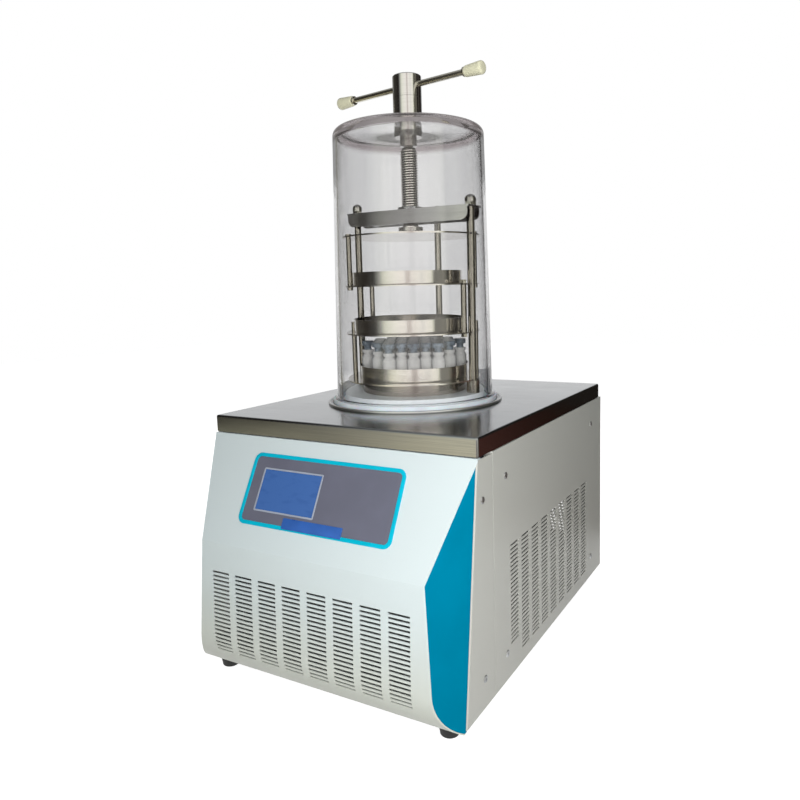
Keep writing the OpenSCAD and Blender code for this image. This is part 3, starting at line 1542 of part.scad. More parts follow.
// Rocker of the mains switch on its pin, lying in its off position
module power_rocker() {
    half = rocker_h() / 2 - 1.5;
    pin_d = 3;
    pin_l = rocker_w() + 2 * (rocker_gap() - thrust_play);
    rise = 3.4;
    dip = 2;
    root = [2, 7];
    color("#b81f22") from_top() translate([inlet_x(), back_y, -inlet_drop() + rocker_up()])
        rotate([0, -90, 0]) {
        rotate(-rocker_tilt()) translate([0, 0, -rocker_w() / 2]) linear_extrude(rocker_w())
            polygon([[-half, 0], [-half, rise], [0, dip], [half, rise], [half, 0],
                [root[0], -root[1]], [-root[0], -root[1]]]);
        translate([0, 0, -pin_l / 2]) cylinder(d = pin_d, h = pin_l, $fn = 32);
    }
}

base_pan();
frame();
worktop();
front_panel();
facet_left();
facet_right();
cheek_left();
cheek_right();
side_panel_left();
side_panel_right();
rear_panel();
feet();
panel_screws();
display_frame();
display_overlay();
screen_bezel();
screen();
label_strip();
controller_board();
seat_ring();
gasket();
bell();
gland();
shaft_seals();
drive_shaft();
handle_head();
t_bar();
knobs();
rack_base();
vapour_guide();
columns();
cap_nuts();
crossbar();
bar_nut();
press_screw();
thrust_collar();
press_disc();
upper_hangers();
middle_hangers();
lower_guides();
shelf_top();
shelf_middle();
shelf_bottom();
tray_top();
tray_middle();
tray_bottom();
vials();
stoppers();
cold_trap();
evaporator_coil();
trap_insulation();
compressor();
condenser();
fan_mount();
fan_rotor();
refrigerant_lines();
drain_valve();
valve_lever();
power_inlet();
power_rocker();
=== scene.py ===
# %% [markdown]
# # A bench-top freeze dryer with a clear bell and a stoppering press
# The solids were drawn in a CAD program, and they already stand in their places. This lesson loads them,
# paints them and adds the pieces whose form the solids leave plain: the screw's thread, the moulded
# seal, the rounded knobs and the like. Lengths are in metres, apart from outlines and their rounds,
# which are in millimetres. Up is +Z, and the control panel faces -Y.

import json
import math

import bmesh
import bpy
from mathutils import Matrix, Vector


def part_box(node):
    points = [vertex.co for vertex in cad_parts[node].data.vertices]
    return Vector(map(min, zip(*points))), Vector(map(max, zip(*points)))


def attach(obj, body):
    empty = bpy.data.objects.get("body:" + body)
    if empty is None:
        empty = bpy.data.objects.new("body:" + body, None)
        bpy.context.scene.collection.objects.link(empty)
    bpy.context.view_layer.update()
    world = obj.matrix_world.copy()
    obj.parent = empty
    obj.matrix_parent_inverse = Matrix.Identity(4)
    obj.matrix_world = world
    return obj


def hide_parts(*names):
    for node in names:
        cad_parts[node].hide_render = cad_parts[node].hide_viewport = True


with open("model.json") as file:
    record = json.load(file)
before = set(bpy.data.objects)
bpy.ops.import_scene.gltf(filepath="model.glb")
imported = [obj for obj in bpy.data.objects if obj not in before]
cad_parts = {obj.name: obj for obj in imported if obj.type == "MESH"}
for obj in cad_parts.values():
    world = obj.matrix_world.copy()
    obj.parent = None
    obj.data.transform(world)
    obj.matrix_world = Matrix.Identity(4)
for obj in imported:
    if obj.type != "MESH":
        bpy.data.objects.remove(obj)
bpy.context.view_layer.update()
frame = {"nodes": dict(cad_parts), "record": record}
NODES = frame["nodes"]
SLOT_OF = {part["node"]: part["material_slot"] for part in frame["record"]["subparts"]}
TOP_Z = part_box("worktop")[1][2]
CHAMBER = (Vector(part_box("bell")[0]) + Vector(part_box("bell")[1])) / 2
CHAMBER.z = TOP_Z

# %% [markdown]
# ## The camera
# A camera is a place, a direction and a lens. Here the direction is given as three angles: yaw turns it
# to the left, pitch tips it down, and roll leans it sideways. The lens is slightly wide, as for a
# machine on a bench seen from a good metre away. A small shift, given as a share of the sensor's
# width, moves the picture without turning the camera.

# %% Camera
LENS_MM, SENSOR_MM = 31.257, 36.0
SHIFT_X, SHIFT_Y = -0.0427125, -0.036175
YAW, PITCH, ROLL = 0.5081, 0.1122, -0.0242
EYE = Vector((0.59205, -1.01436, 0.56531))


def camera_at(place):
    """The camera, looking along yaw and pitch and leaning by roll."""
    ahead = Vector(
        (-math.sin(YAW) * math.cos(PITCH), math.cos(YAW) * math.cos(PITCH), -math.sin(PITCH))
    )
    level = Vector((math.cos(YAW), math.sin(YAW), 0))
    upright = level.cross(ahead)
    right = math.cos(ROLL) * level + math.sin(ROLL) * upright
    up = math.cos(ROLL) * upright - math.sin(ROLL) * level
    lens = bpy.data.cameras.new("picture")
    lens.sensor_width = SENSOR_MM
    lens.lens = LENS_MM
    lens.shift_x, lens.shift_y = SHIFT_X, SHIFT_Y
    camera = bpy.data.objects.new("picture", lens)
    turn = Matrix((right, up, -ahead)).transposed().to_4x4()
    camera.matrix_world = Matrix.Translation(place) @ turn
    bpy.context.scene.collection.objects.link(camera)
    return camera


bpy.context.scene.camera = camera_at(EYE)
print("lens", round(bpy.context.scene.camera.data.lens, 2), "mm")

# %% [markdown]
# ## Arithmetic on sockets
# A procedural material is a small sum done for every point of a surface. Linking Math nodes by hand
# hides the sum, so a socket is wrapped in a class whose signs add the nodes: `1 - mask * 0.5` reads as
# what it does. Numbers go through Math nodes, places through Vector Math, and colours through Mix,
# because a Math node would turn a colour grey.

# %% A socket with signs
class Wire:
    """An output socket of a material. Python's signs and the methods below add nodes after it."""

    def __init__(self, finish, socket):
        self.finish, self.socket = finish, socket

    def _sign(self, operation, first, second):
        kinds = {w.socket.type for w in (first, second) if isinstance(w, Wire)}
        if "RGBA" in kinds:
            return self.finish.mix(1.0, first, second, operation)
        if "VECTOR" in kinds:
            return self.finish.add("VectorMath", {"operation": operation}, {0: first, 1: second})
        return self.finish.add("Math", {"operation": operation}, {0: first, 1: second})

    def __add__(self, other):
        return self._sign("ADD", self, other)

    def __radd__(self, other):
        return self._sign("ADD", other, self)

    def __sub__(self, other):
        return self._sign("SUBTRACT", self, other)

    def __rsub__(self, other):
        return self._sign("SUBTRACT", other, self)

    def __mul__(self, other):
        return self._sign("MULTIPLY", self, other)

    def __rmul__(self, other):
        return self._sign("MULTIPLY", other, self)

    def __truediv__(self, other):
        return self._sign("DIVIDE", self, other)

    def __pow__(self, power):
        return self.finish.add("Math", {"operation": "POWER"}, {0: self, 1: power})

    def math(self, operation, other=0.0):
        """Any other sum of one or two numbers, such as SINE or FLOORED_MODULO."""
        return self.finish.add("Math", {"operation": operation}, {0: self, 1: other})

    def between(self, low, high, to_low=0.0, to_high=1.0):
        """0 below low and 1 above high, smooth in between, then stretched to the two given values."""
        return self.finish.add(
            "MapRange",
            {"interpolation_type": "SMOOTHSTEP"},
            {"Value": self, "From Min": low, "From Max": high, "To Min": to_low, "To Max": to_high},
        )


print("a sum can be written on any socket")

# %% [markdown]
# A material holds the wires. One method adds every kind of node, so that no node needs code of its own,
# and another links what changes over the surface to the shader. What stays the same over the whole
# surface, such as the metal's Metallic, is set on the shader itself.

# %% A material with one way to add nodes
class Finish:
    """A material and the one method that adds nodes to it."""

    def __init__(self, name, **constants):
        self.material = bpy.data.materials.new(name)
        self.material.use_nodes = True
        self.tree = self.material.node_tree
        self.shader = self.tree.nodes["Principled BSDF"]
        self.place = self.add("TexCoord", {}, {}, out="Object")
        for socket, value in constants.items():
            self.shader.inputs[socket.replace("_", " ")].default_value = value

    def add(self, kind, settings, sockets, out=0):
        """Adds a node, sets its settings, then its sockets: a value sets one, and a Wire is linked."""
        node = self.tree.nodes.new("ShaderNode" + kind)
        for name, value in settings.items():
            if name == "stops":
                set_stops(node.color_ramp, value)
            else:
                setattr(node, name, value)
        for name, value in sockets.items():
            self.feed(node.inputs[name], value)
        return Wire(self, node.outputs[out])

    def feed(self, socket, value):
        """Links a Wire to a socket, or sets the socket to a number, a place or a colour."""
        if isinstance(value, Wire):
            self.tree.links.new(value.socket, socket)
        elif socket.type == "RGBA":
            socket.default_value = (*value[:3], 1)
        elif socket.type == "VECTOR" and not hasattr(value, "__len__"):
            socket.default_value = (value,) * 3
        else:
            socket.default_value = value

    def mix(self, amount, first, second, blend="MIX"):
        """Two colours mixed: none of the second at 0, all of it at 1."""
        return self.add(
            "Mix", {"data_type": "RGBA", "blend_type": blend}, {0: amount, 6: first, 7: second}, out=2
        )

    def noise(self, size, stretch=(1, 1, 1), detail=3.0, rough=0.5, seed=0.0):
        """Cloudy noise whose spots are about size across, drawn out along an axis by stretch."""
        spot = self.add(
            "Mapping",
            {},
            {
                "Vector": self.place,
                "Location": (seed, seed, seed),
                "Scale": tuple(1 / s for s in stretch),
            },
        )
        return self.add(
            "TexNoise",
            {},
            {"Vector": spot, "Scale": 1 / size, "Detail": detail, "Roughness": rough},
        )

    def axis(self, letter, about=(0, 0, 0)):
        """One coordinate of the point, measured from about."""
        return self.add("SeparateXYZ", {}, {"Vector": self.place - about}, out="XYZ".index(letter))

    def radius(self, about):
        """The distance from an upright axis through about."""
        return (self.axis("X", about) ** 2 + self.axis("Y", about) ** 2) ** 0.5

    def surface(self, colour=None, rough=None, bump=None, depth=0.0002, alpha=None, glow=None):
        """Links what changes over the surface to the shader, and gives the finish back."""
        ins = self.shader.inputs
        for socket, value in (
            ("Base Color", colour),
            ("Roughness", rough),
            ("Alpha", alpha),
            ("Emission Color", glow),
        ):
            if value is not None:
                self.feed(ins[socket], value)
        if bump is not None:
            normal = self.add("Bump", {}, {"Height": bump, "Distance": depth, "Strength": 1.0})
            self.feed(ins["Normal"], normal)
        return self


def set_stops(ramp, stops):
    """Gives a colour ramp its stops, each a place from 0 to 1 and a colour, in rising order."""
    for element, (place, colour) in zip(ramp.elements, (stops[0], stops[-1])):
        element.position, element.color = place, (*colour, 1)
    for place, colour in stops[1:-1]:
        ramp.elements.new(place).color = (*colour, 1)


print("a finish can be built in one sum")

# %% [markdown]
# ## Powder coat
# The cabinet is folded sheet with a baked powder coat: satin, very slightly dimpled like orange peel,
# and a little darker and warmer towards the foot. Three sizes of noise do the rest: a wide one shifts
# the colour by a percent or two, a fine one makes the bump, and the finest sets a few specks of dust.

# %% Painted sheet
def powder_coat(name, upper, lower, change_at, dimple=0.0016, speck=0.03):
    """Baked powder coat that goes from the upper to the lower colour about the given heights."""
    coat = Finish(name, Specular_IOR_Level=0.45)
    height = coat.axis("Z")
    wide = coat.noise(0.22, detail=2)
    fine = coat.noise(dimple, detail=2)
    shade = coat.mix(height.between(*change_at), lower, upper)
    cloud = coat.mix(wide * speck * 2, shade, tuple(0.72 * c for c in lower))
    dust = coat.noise(0.0009, detail=1, seed=3).between(0.62, 0.75)
    tone = coat.mix(dust * 0.10, cloud, (0.45, 0.44, 0.40))
    return coat.surface(tone, rough=0.34 + wide * 0.16, bump=fine, depth=0.00006)


FINISH = {
    "white_paint": powder_coat(
        "white_powder_coat", (0.70, 0.79, 0.80), (0.66, 0.68, 0.60), (0.02, 0.20)
    ),
    "grey_paint": powder_coat(
        "grey_powder_coat", (0.63, 0.64, 0.59), (0.60, 0.60, 0.55), (0.03, 0.3)
    ),
}
print(len(FINISH), "powder coats")

# %% [markdown]
# ## Painted and moulded plastic
# The facets are satin paint on sheet, the display frame is a moulded band, and the knobs are turned
# from a cream plastic. All share one recipe: a colour, a little cloud in it, a roughness that varies
# with the same cloud, and a bump that is fine for paint and coarser for moulded parts.

# %% Plain coloured finishes


def coloured(
    name, colour, rough=0.4, cloud=0.12, grain=0.0012, depth=0.00003, spot=0.03, **constants
):
    """One colour with a soft cloud in it and a fine grain."""
    paint = Finish(name, **constants)
    soft = paint.noise(spot, detail=3)
    fine = paint.noise(grain, detail=2, seed=1)
    dark = tuple(c * (1 - cloud) for c in colour)
    light = tuple(min(1.0, c * (1 + cloud)) for c in colour)
    tone = paint.mix(soft.between(0.3, 0.7), dark, light)
    return paint.surface(tone, rough=rough + (soft - 0.5) * 0.15, bump=fine, depth=depth)


FINISH |= {
    "teal_paint": coloured(
        "blue_green_paint", (0.0, 0.215, 0.36), 0.5, 0.05, spot=0.08, Specular_IOR_Level=0.0
    ),
    "teal_plastic": coloured(
        "blue_green_band", (0.0, 0.50, 0.68), 0.35, 0.05, Specular_IOR_Level=0.2
    ),
    "overlay_grey": coloured("grey_film", (0.145, 0.15, 0.20), 0.45, 0.05, spot=0.05),
    "bezel_grey": coloured("pale_bezel", (0.38, 0.42, 0.50), 0.45, 0.05),
    "strip_blue": coloured("blue_strip", (0.035, 0.13, 0.46), 0.3, 0.10),
    "board_green": coloured("board_lacquer", (0.03, 0.22, 0.08), 0.4, 0.3, spot=0.004),
    "rubber": coloured("foot_rubber", (0.016, 0.016, 0.016), 0.7, 0.3, depth=0.0001),
    "stopper_rubber": coloured("stopper_rubber", (0.155, 0.19, 0.225), 0.3, 0.35, spot=0.006),
    "cream_plastic": coloured(
        "cream_plastic", (0.97, 0.95, 0.69), 0.42, 0.02, spot=0.02, depth=0.000003
    ),
    "dark_steel": coloured("black_enamel", (0.03, 0.03, 0.033), 0.4, 0.2),
    "black_plastic": coloured("black_moulding", (0.02, 0.02, 0.021), 0.5, 0.2, depth=0.00006),
    "red_plastic": coloured("red_moulding", (0.45, 0.02, 0.02), 0.3, 0.1),
}
print("coloured finishes:", ", ".join(sorted(FINISH)))

# %% [markdown]
# ## Steel
# Brushed steel is a plain metal with fine streaks along the way of the belt. The streaks are noise drawn
# out a hundredfold along that way. They change the roughness and the bump, and the colour only
# slightly, so the light does most of the work. Turned and polished steel has its fine lines round the
# axis instead, and a lower roughness.

# %% Metals


def brushed(name, colour, along, rough=0.32, streak=0.0008, depth=0.00002, stain=0.10):
    """Belt-ground steel with streaks along one axis, given as how far each axis is drawn out."""
    steel = Finish(name, Metallic=1.0)
    lines = steel.noise(streak, stretch=along, detail=3, rough=0.6)
    haze = steel.noise(0.09, detail=3, seed=2)
    tone = steel.mix(lines.between(0.35, 0.7) * 0.35, colour, tuple(0.62 * c for c in colour))
    tone = steel.mix(haze.between(0.45, 0.75) * stain, tone, tuple(0.55 * c for c in colour))
    dull = rough + (lines - 0.5) * 0.12 + (haze - 0.5) * 0.1
    return steel.surface(tone, rough=dull, bump=lines, depth=depth)


def turned(name, colour, rough=0.16, pitch=0.0011, depth=0.00001):
    """Turned steel: fine rings along the height, with a faint haze of handling."""
    steel = Finish(name, Metallic=1.0)
    rings = steel.noise(pitch, stretch=(60, 60, 1), detail=2, rough=0.6)
    haze = steel.noise(0.05, detail=3, seed=4)
    tone = steel.mix(rings.between(0.4, 0.75) * 0.25, colour, tuple(0.7 * c for c in colour))
    dull = rough + (rings - 0.5) * 0.12 + (haze - 0.5) * 0.08
    return steel.surface(tone, rough=dull, bump=rings, depth=depth)


def plated(name, colour, dark, cell, rough=0.4):
    """Zinc or drawn copper: crystals or stains as cells of two tones."""
    plate = Finish(name, Metallic=1.0)
    cells = plate.add("TexVoronoi", {}, {"Vector": plate.place, "Scale": 1 / cell}, out="Color")
    grey = plate.add("SeparateColor", {}, {"Color": cells}, out=0)
    cloud = plate.noise(cell * 3, detail=3)
    tone = plate.mix(grey * 0.6 + cloud * 0.3, colour, dark)
    return plate.surface(tone, rough=rough + grey * 0.15, bump=cloud, depth=0.00005)


FINISH |= {
    "stainless": brushed(
        "brushed_stainless", (0.325, 0.34, 0.355), (120, 2, 1), rough=0.17, depth=0.000006
    ),
    "polished": turned("polished_stainless", (0.86, 0.835, 0.795), rough=0.12),
    "screw_steel": turned("turned_steel", (0.56, 0.55, 0.53), rough=0.2),
    "galvanised": plated("zinc", (0.50, 0.51, 0.52), (0.36, 0.37, 0.38), 0.008),
    "copper": plated("drawn_copper", (0.62, 0.32, 0.19), (0.36, 0.17, 0.10), 0.02, 0.35),
    "brass_body": plated("brass", (0.60, 0.45, 0.20), (0.42, 0.30, 0.12), 0.015, 0.3),
}
print("metals added,", len(FINISH), "finishes")

# %% [markdown]
# ## Clear, milky and glowing parts
# The bell is thick clear acrylic, so light is bent at both faces of its wall. Its colour is that of one
# pass through the wall, a light grey. The moulded shoulder gets a violet-brown that is a painted
# reflection, and a faint painted glow that stands in for the light the real wall pipes up to it.
# The vials are thin glass in a dense field. Bending every ray through dozens of walls would cost more
# passes than a renderer allows, so they are a see-through skin that thickens at the rim of each vial,
# where a darker colour is painted shade for the dark outline of real glass.
# The seal is white silicone, which lets some light under its skin. The screen is a blue liquid-crystal
# panel lit from behind, with its fine cells, and the strip under it is plain.

# %% Clear acrylic
SHOULDER_FROM, SHOULDER_TO = TOP_Z + 0.425, TOP_Z + 0.440
SHOULDER_IN, SHOULDER_OUT = 0.092, 0.112


def clear_acrylic(tint, shoulder_reflection_tint, painted_shoulder_glow):
    """Clear moulded acrylic with faint upright draw marks. The shoulder has a deeper colour that is a
    painted reflection, and a faint painted glow for the light that the wall pipes up to it."""
    glass = Finish("clear_acrylic", Transmission_Weight=1.0, IOR=1.49, Emission_Strength=1.0)
    draw = glass.noise(0.012, stretch=(1, 1, 40), detail=3, seed=5)
    marks = glass.noise(0.02, stretch=(1, 1, 6), detail=4, seed=6).between(0.55, 0.8)
    outer = glass.radius(CHAMBER)
    high = glass.axis("Z").between(SHOULDER_FROM, SHOULDER_TO)
    shoulder = high * outer.between(SHOULDER_IN, SHOULDER_OUT)
    edge = glass.add("LayerWeight", {}, {"Blend": 0.5}, out="Facing").between(0.78, 0.97)
    wall = glass.mix(draw.between(0.35, 0.7) * 0.4, tint, tuple(0.92 * c for c in tint))
    wall = glass.mix(edge, wall, tuple(0.93 * c for c in tint))
    # painted glow: the shoulder gives off a little light of its own, standing in for light piped up the
    # wall
    glow = glass.mix(shoulder, (0, 0, 0), painted_shoulder_glow)
    # painted reflection: the shoulder's violet-brown stands in for what its thick glass mirrors
    tone = glass.mix(shoulder, wall, shoulder_reflection_tint)
    return glass.surface(tone, rough=0.015 + marks * 0.03, glow=glow)


print("the shoulder's colour starts at", round(SHOULDER_FROM, 3))

# %% Vials' glass and white silicone


def vial_glass(body, rim):
    """Thin glass: nearly clear where it faces the eye, and denser and darker towards its outline, in
    painted shade.
    """
    glass = Finish("vial_glass", Roughness=0.08, IOR=1.45)
    facing = glass.add("LayerWeight", {}, {"Blend": 0.35}, out="Facing")
    # painted shade: the rim colour darkens the glass towards its outline
    tone = glass.mix(facing.between(0.15, 0.75), body, rim)
    return glass.surface(tone, alpha=0.62 + facing * 0.3)


def silicone():
    """White silicone rubber, soft and slightly cloudy."""
    soft = Finish("white_silicone", Subsurface_Weight=0.25, Subsurface_Scale=0.004)
    cloud = soft.noise(0.03, detail=3)
    tone = soft.mix(cloud.between(0.3, 0.7), (0.70, 0.76, 0.82), (0.80, 0.86, 0.91))
    return soft.surface(tone, rough=0.35 + cloud * 0.2, bump=cloud, depth=0.0001)


# %% Screen and foam
SCREEN_CELL = 0.0012
FOAM_CELL = 0.0025


def screen():
    """A blue liquid-crystal panel with a fine grid of cells and a few dimmer rows."""
    panel = Finish("blue_screen", Emission_Strength=0.35)
    cells = [panel.axis(letter) * (2 * math.pi / SCREEN_CELL) for letter in "XZ"]
    grid = cells[0].math("SINE").math("ABSOLUTE") * cells[1].math("SINE").math("ABSOLUTE")
    rows = panel.noise(0.007, stretch=(3, 1, 1), detail=2, seed=7).between(0.5, 0.75)
    lit = panel.mix(rows * 0.4, (0.042, 0.11, 0.31), (0.025, 0.075, 0.24))
    tone = panel.mix(grid * 0.12, lit, (0.08, 0.17, 0.40))
    return panel.surface(tone, rough=0.2, glow=tone)


def rigid_foam():
    """Foamed-in-place insulation: a cellular skin in pale yellow."""
    foam = Finish("rigid_foam")
    cells = foam.add("TexVoronoi", {}, {"Vector": foam.place, "Scale": 1 / FOAM_CELL}, out="Distance")
    cloud = foam.noise(0.04)
    tone = foam.mix(cloud, (0.62, 0.52, 0.30), (0.75, 0.68, 0.46))
    return foam.surface(tone, rough=0.85, bump=cells, depth=0.0008)


FINISH |= {
    # the bell's last two colours are the shoulder's painted reflection and its painted glow
    "clear": clear_acrylic((0.82, 0.82, 0.825), (0.27, 0.235, 0.245), (0.052, 0.048, 0.047)),
    # the vials' second colour is the painted shade at each vial's outline
    "vial_glass": vial_glass((0.74, 0.74, 0.72), (0.28, 0.29, 0.31)),
    "silicone": silicone(),
    "screen_blue": screen(),
    "foam": rigid_foam(),
}
print("all", len(FINISH), "finishes are ready")

# %% [markdown]
# ## Every solid gets its finish
# The record names a finish for each solid. A few parts differ from their neighbours, so they get a
# finish of their own in its place: the rods and the guide ring are duller, the cross channel is paler
# with coarser streaks, the gland matches the handle's head, and the rack's base ring is near white.

# %% Finishes on the solids
ROD_STEEL = turned("rod_steel", (0.47, 0.45, 0.40), rough=0.17)
OWN_FINISH = {
    "handle_head": turned("head_steel", (0.56, 0.555, 0.545), rough=0.13),
    "crossbar": brushed(
        "channel_steel", (0.95, 0.95, 0.97), (60, 1, 1), rough=0.2, streak=0.002, depth=0.000001
    ),
    "vapour_guide": turned("guide_steel", (0.46, 0.41, 0.37), rough=0.15),
    "rack_base": coloured("base_ring_white", (0.90, 0.95, 0.98), 0.35, 0.04, spot=0.05),
    "columns": ROD_STEEL,
    "upper_hangers": ROD_STEEL,
    "middle_hangers": ROD_STEEL,
    "lower_guides": ROD_STEEL,
}
OWN_FINISH["gland"] = OWN_FINISH["handle_head"]
for node, solid in NODES.items():
    solid.data.materials.clear()
    solid.data.materials.append(OWN_FINISH.get(node, FINISH[SLOT_OF[node]]).material)
print("every solid has its finish:", len(NODES))

# %% [markdown]
# ## Round pieces
# Most of the chamber is turned or moulded round one axis. Such a piece starts as half of its outline:
# a few corners joined by edges. A vertex bevel rounds the corners that are round on the real piece, and
# one spin sweeps the outline round the axis. Points that meet on the axis or at the seam are merged, the
# faces are turned outwards, and edges that are sharp on the real piece stay sharp in the shading.

# %% From an outline to a finished piece
MM = 0.001
WIDE_ROUND = 5


def finished(mesh, name, slot, body, nodes, sharp=40, finish=None):
    """Merges, turns the faces outwards, shades, and hands the piece to its body and its slot."""
    bmesh.ops.remove_doubles(mesh, verts=mesh.verts, dist=1e-6)
    bmesh.ops.recalc_face_normals(mesh, faces=mesh.faces)
    for face in mesh.faces:
        face.smooth = True
    for edge in mesh.edges:
        edge.smooth = len(edge.link_faces) == 2 and edge.calc_face_angle() < math.radians(sharp)
    data = bpy.data.meshes.new(name)
    mesh.to_mesh(data)
    mesh.free()
    data.materials.append((finish or FINISH[slot]).material)
    piece = bpy.data.objects.new(name, data)
    bpy.context.scene.collection.objects.link(piece)
    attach(piece, body)
    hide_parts(*nodes)
    print(name, len(data.polygons), "faces, for", ", ".join(nodes))
    return piece


def round_corners(mesh, corners, rounds):
    """Rounds the numbered corners of a wire outline, each by its own radius."""
    for index, radius in rounds.items():
        bmesh.ops.bevel(
            mesh,
            geom=[corners[index]],
            offset=radius * MM,
            segments=12 if radius > WIDE_ROUND else 6,
            profile=0.5,
            affect="VERTICES",
            material=-1,
        )


def turned_piece(outline, rounds, closed=False, steps=96):
    """A bmesh turned round Z from an outline of (radius, height) in millimetres."""
    mesh = bmesh.new()
    corners = [mesh.verts.new((r * MM, 0, z * MM)) for r, z in outline]
    followers = corners[1:] + corners[:1] if closed else corners[1:]
    for first, second in zip(corners, followers):
        mesh.edges.new((first, second))
    round_corners(mesh, corners, rounds)
    bmesh.ops.spin(
        mesh,
        geom=mesh.verts[:] + mesh.edges[:],
        cent=(0, 0, 0),
        axis=(0, 0, 1),
        dvec=(0, 0, 0),
        angle=2 * math.pi,
        steps=steps,
        use_merge=True,
        use_duplicate=False,
    )
    return mesh


def put(mesh, place, turn=None):
    """Turns a bmesh about its own origin, then moves it to its place."""
    if turn is not None:
        bmesh.ops.transform(mesh, matrix=turn, verts=mesh.verts)
    bmesh.ops.translate(mesh, verts=mesh.verts, vec=place)
    return mesh


print("the chamber's axis is at", [round(c, 4) for c in CHAMBER])

# %% [markdown]
# ## The bell
# The bell is moulded, so its wall leans in by a degree, its shoulder is round outside and inside, and
# its foot is a short flange. A solid of revolution is all it needs, but with more steps than the
# solid has, because clear edges show every facet. Acrylic lets nine tenths of the light in, but a
# renderer's shadow rays stop at it, so the bell is told to cast none.

# %% Clear bell
BELL_OUTLINE = [
    (125, 5),
    (134.5, 5),
    (134.5, 12),
    (131.37, 12),
    (123.33, 446),
    (23.05, 446),
    (23.05, 441),
    (117.1, 441),
]
BELL_ROUNDS = {1: 1, 2: 1.5, 3: 1, 4: 11, 5: 0.6, 7: 17}
bell = finished(
    put(turned_piece(BELL_OUTLINE, BELL_ROUNDS, closed=True, steps=160), CHAMBER),
    "clear_bell",
    "clear",
    "machine",
    ["bell"],
    sharp=30,
)
bell.visible_shadow = False

# %% [markdown]
# ## The seal under the bell
# The white seal has a flat seat for the bell's foot, a lip round it, and two fine grooves that take up
# small unevenness. They are drawn in the outline.

# %% Seal with its lip and grooves
SEAL_OUTLINE = [
    (119.2, 2),
    (138.3, 2),
    (138.3, 9.4),
    (135.2, 9.4),
    (134.9, 4.9),
    (124.3, 4.9),
    (123.7, 4.2),
    (122.9, 4.2),
    (122.3, 4.9),
    (121.6, 4.9),
    (121.0, 4.2),
    (120.4, 4.2),
    (119.2, 4.6),
]
finished(
    put(turned_piece(SEAL_OUTLINE, {2: 1.2, 3: 1.2, 12: 0.3}, closed=True, steps=128), CHAMBER),
    "seal_with_lip",
    "silicone",
    "machine",
    ["gasket"],
    sharp=50,
)

# %% [markdown]
# ## The seat ring
# A bright ring is pressed round the seal. Its rim is a rolled bead, so it shows one thin light line with
# a dark one under it, where it turns back to the worktop.

# %% Seat ring with a rolled bead
SEAT_OUTLINE = [(140, 0), (146.4, 0), (147, 1.2), (147, 4), (142.8, 4), (142.2, 2.4), (140, 2.4)]
finished(
    put(turned_piece(SEAT_OUTLINE, {3: 1.9, 4: 1.4}, closed=True, steps=128), CHAMBER),
    "beaded_ring",
    "polished",
    "machine",
    ["seat_ring"],
    finish=turned("ring_steel", (0.70, 0.71, 0.72), rough=0.4),
)

# %% [markdown]
# ## The press screw
# The screw carries the whole rack, so its thread is a coarse trapezoid of four millimetres per turn. A
# helix is a spin that also climbs: the tooth's outline makes 30 turns, and every step lifts it a
# little. The core under it is a plain turned body, bored for the drive shaft, with the journal that
# the thrust collar holds.

# %% Threaded press screw
THREAD = {"pitch": 4.0, "turns": 30, "steps": 36, "root": 11.7, "crest": 14.35, "start": 291.5}
ROOT_HALF, CREST_HALF = 1.5, 0.65
# Below the first radius the thread's colour is painted shade in its roots; towards the second it turns to
# the bright steel of the crests.
ROOT_SHADE_RADIUS, BRIGHT = 12.2, 14.0
CORE_OUTLINE = [
    (8.9, 273.8),
    (10.9, 273.8),
    (10.9, 287.4),
    (13.9, 287.4),
    (13.9, 289.0),
    (11.9, 291.0),
    (11.9, 413.0),
    (11.0, 415.9),
    (8.9, 415.9),
]


def thread_tooth(mesh):
    """The four corners of one tooth, joined, on the XZ plane; gives back their vertices and edges."""
    low, high = THREAD["root"], THREAD["crest"]
    corners = [
        mesh.verts.new((r * MM, 0, (THREAD["start"] + z) * MM))
        for r, z in ((low, -ROOT_HALF), (high, -CREST_HALF), (high, CREST_HALF), (low, ROOT_HALF))
    ]
    edges = [mesh.edges.new((corners[i], corners[(i + 1) % 4])) for i in range(4)]
    return corners + edges


def thread_steel():
    """Turned steel, bright on the crests, with painted shade in the roots."""
    steel = Finish("thread_steel", Metallic=1.0)
    crest = steel.radius(CHAMBER).between(ROOT_SHADE_RADIUS * MM, BRIGHT * MM)
    haze = steel.noise(0.01, detail=3, seed=9)
    # painted shade: dark in the roots, by distance from the axis; the crests keep the steel's own bright
    # colour
    tone = steel.mix(crest, (0.08, 0.08, 0.075), (0.92, 0.90, 0.87))
    return steel.surface(tone, rough=0.16 + haze * 0.12)


def press_screw():
    """The bored core and the thread wound round it."""
    mesh = turned_piece(CORE_OUTLINE, {5: 0.8}, closed=True, steps=72)
    tooth = thread_tooth(mesh)
    root_face = mesh.faces.new([v for v in tooth if isinstance(v, bmesh.types.BMVert)])
    wound = bmesh.ops.spin(
        mesh,
        geom=tooth + [root_face],
        cent=(0, 0, 0),
        axis=(0, 0, 1),
        dvec=(0, 0, THREAD["pitch"] * MM / THREAD["steps"]),
        angle=2 * math.pi * THREAD["turns"],
        steps=THREAD["steps"] * THREAD["turns"],
        use_merge=False,
        use_duplicate=False,
    )
    print("thread ends with", len(wound["geom_last"]), "parts of its last tooth")
    return put(mesh, CHAMBER)


finished(press_screw(), "threaded_screw", "screw_steel", "screw", ["press_screw"], 30, thread_steel())

# %% [markdown]
# ## Handle's bar, knobs, nuts and feet
# The handle's bar has a shoulder beside each knob. The knobs are moulded on its ends, narrow towards the
# hub and well rounded outside. The columns end in acorn nuts, a hexagon under a dome. The feet are rubber
# with a rounded rim, and hollow underneath. Each has one outline, turned as often as it repeats. A
# hexagon is an outline that is turned in six steps. Heights and lengths are in millimetres, and the
# bar's are measured from the chamber's axis and the worktop.

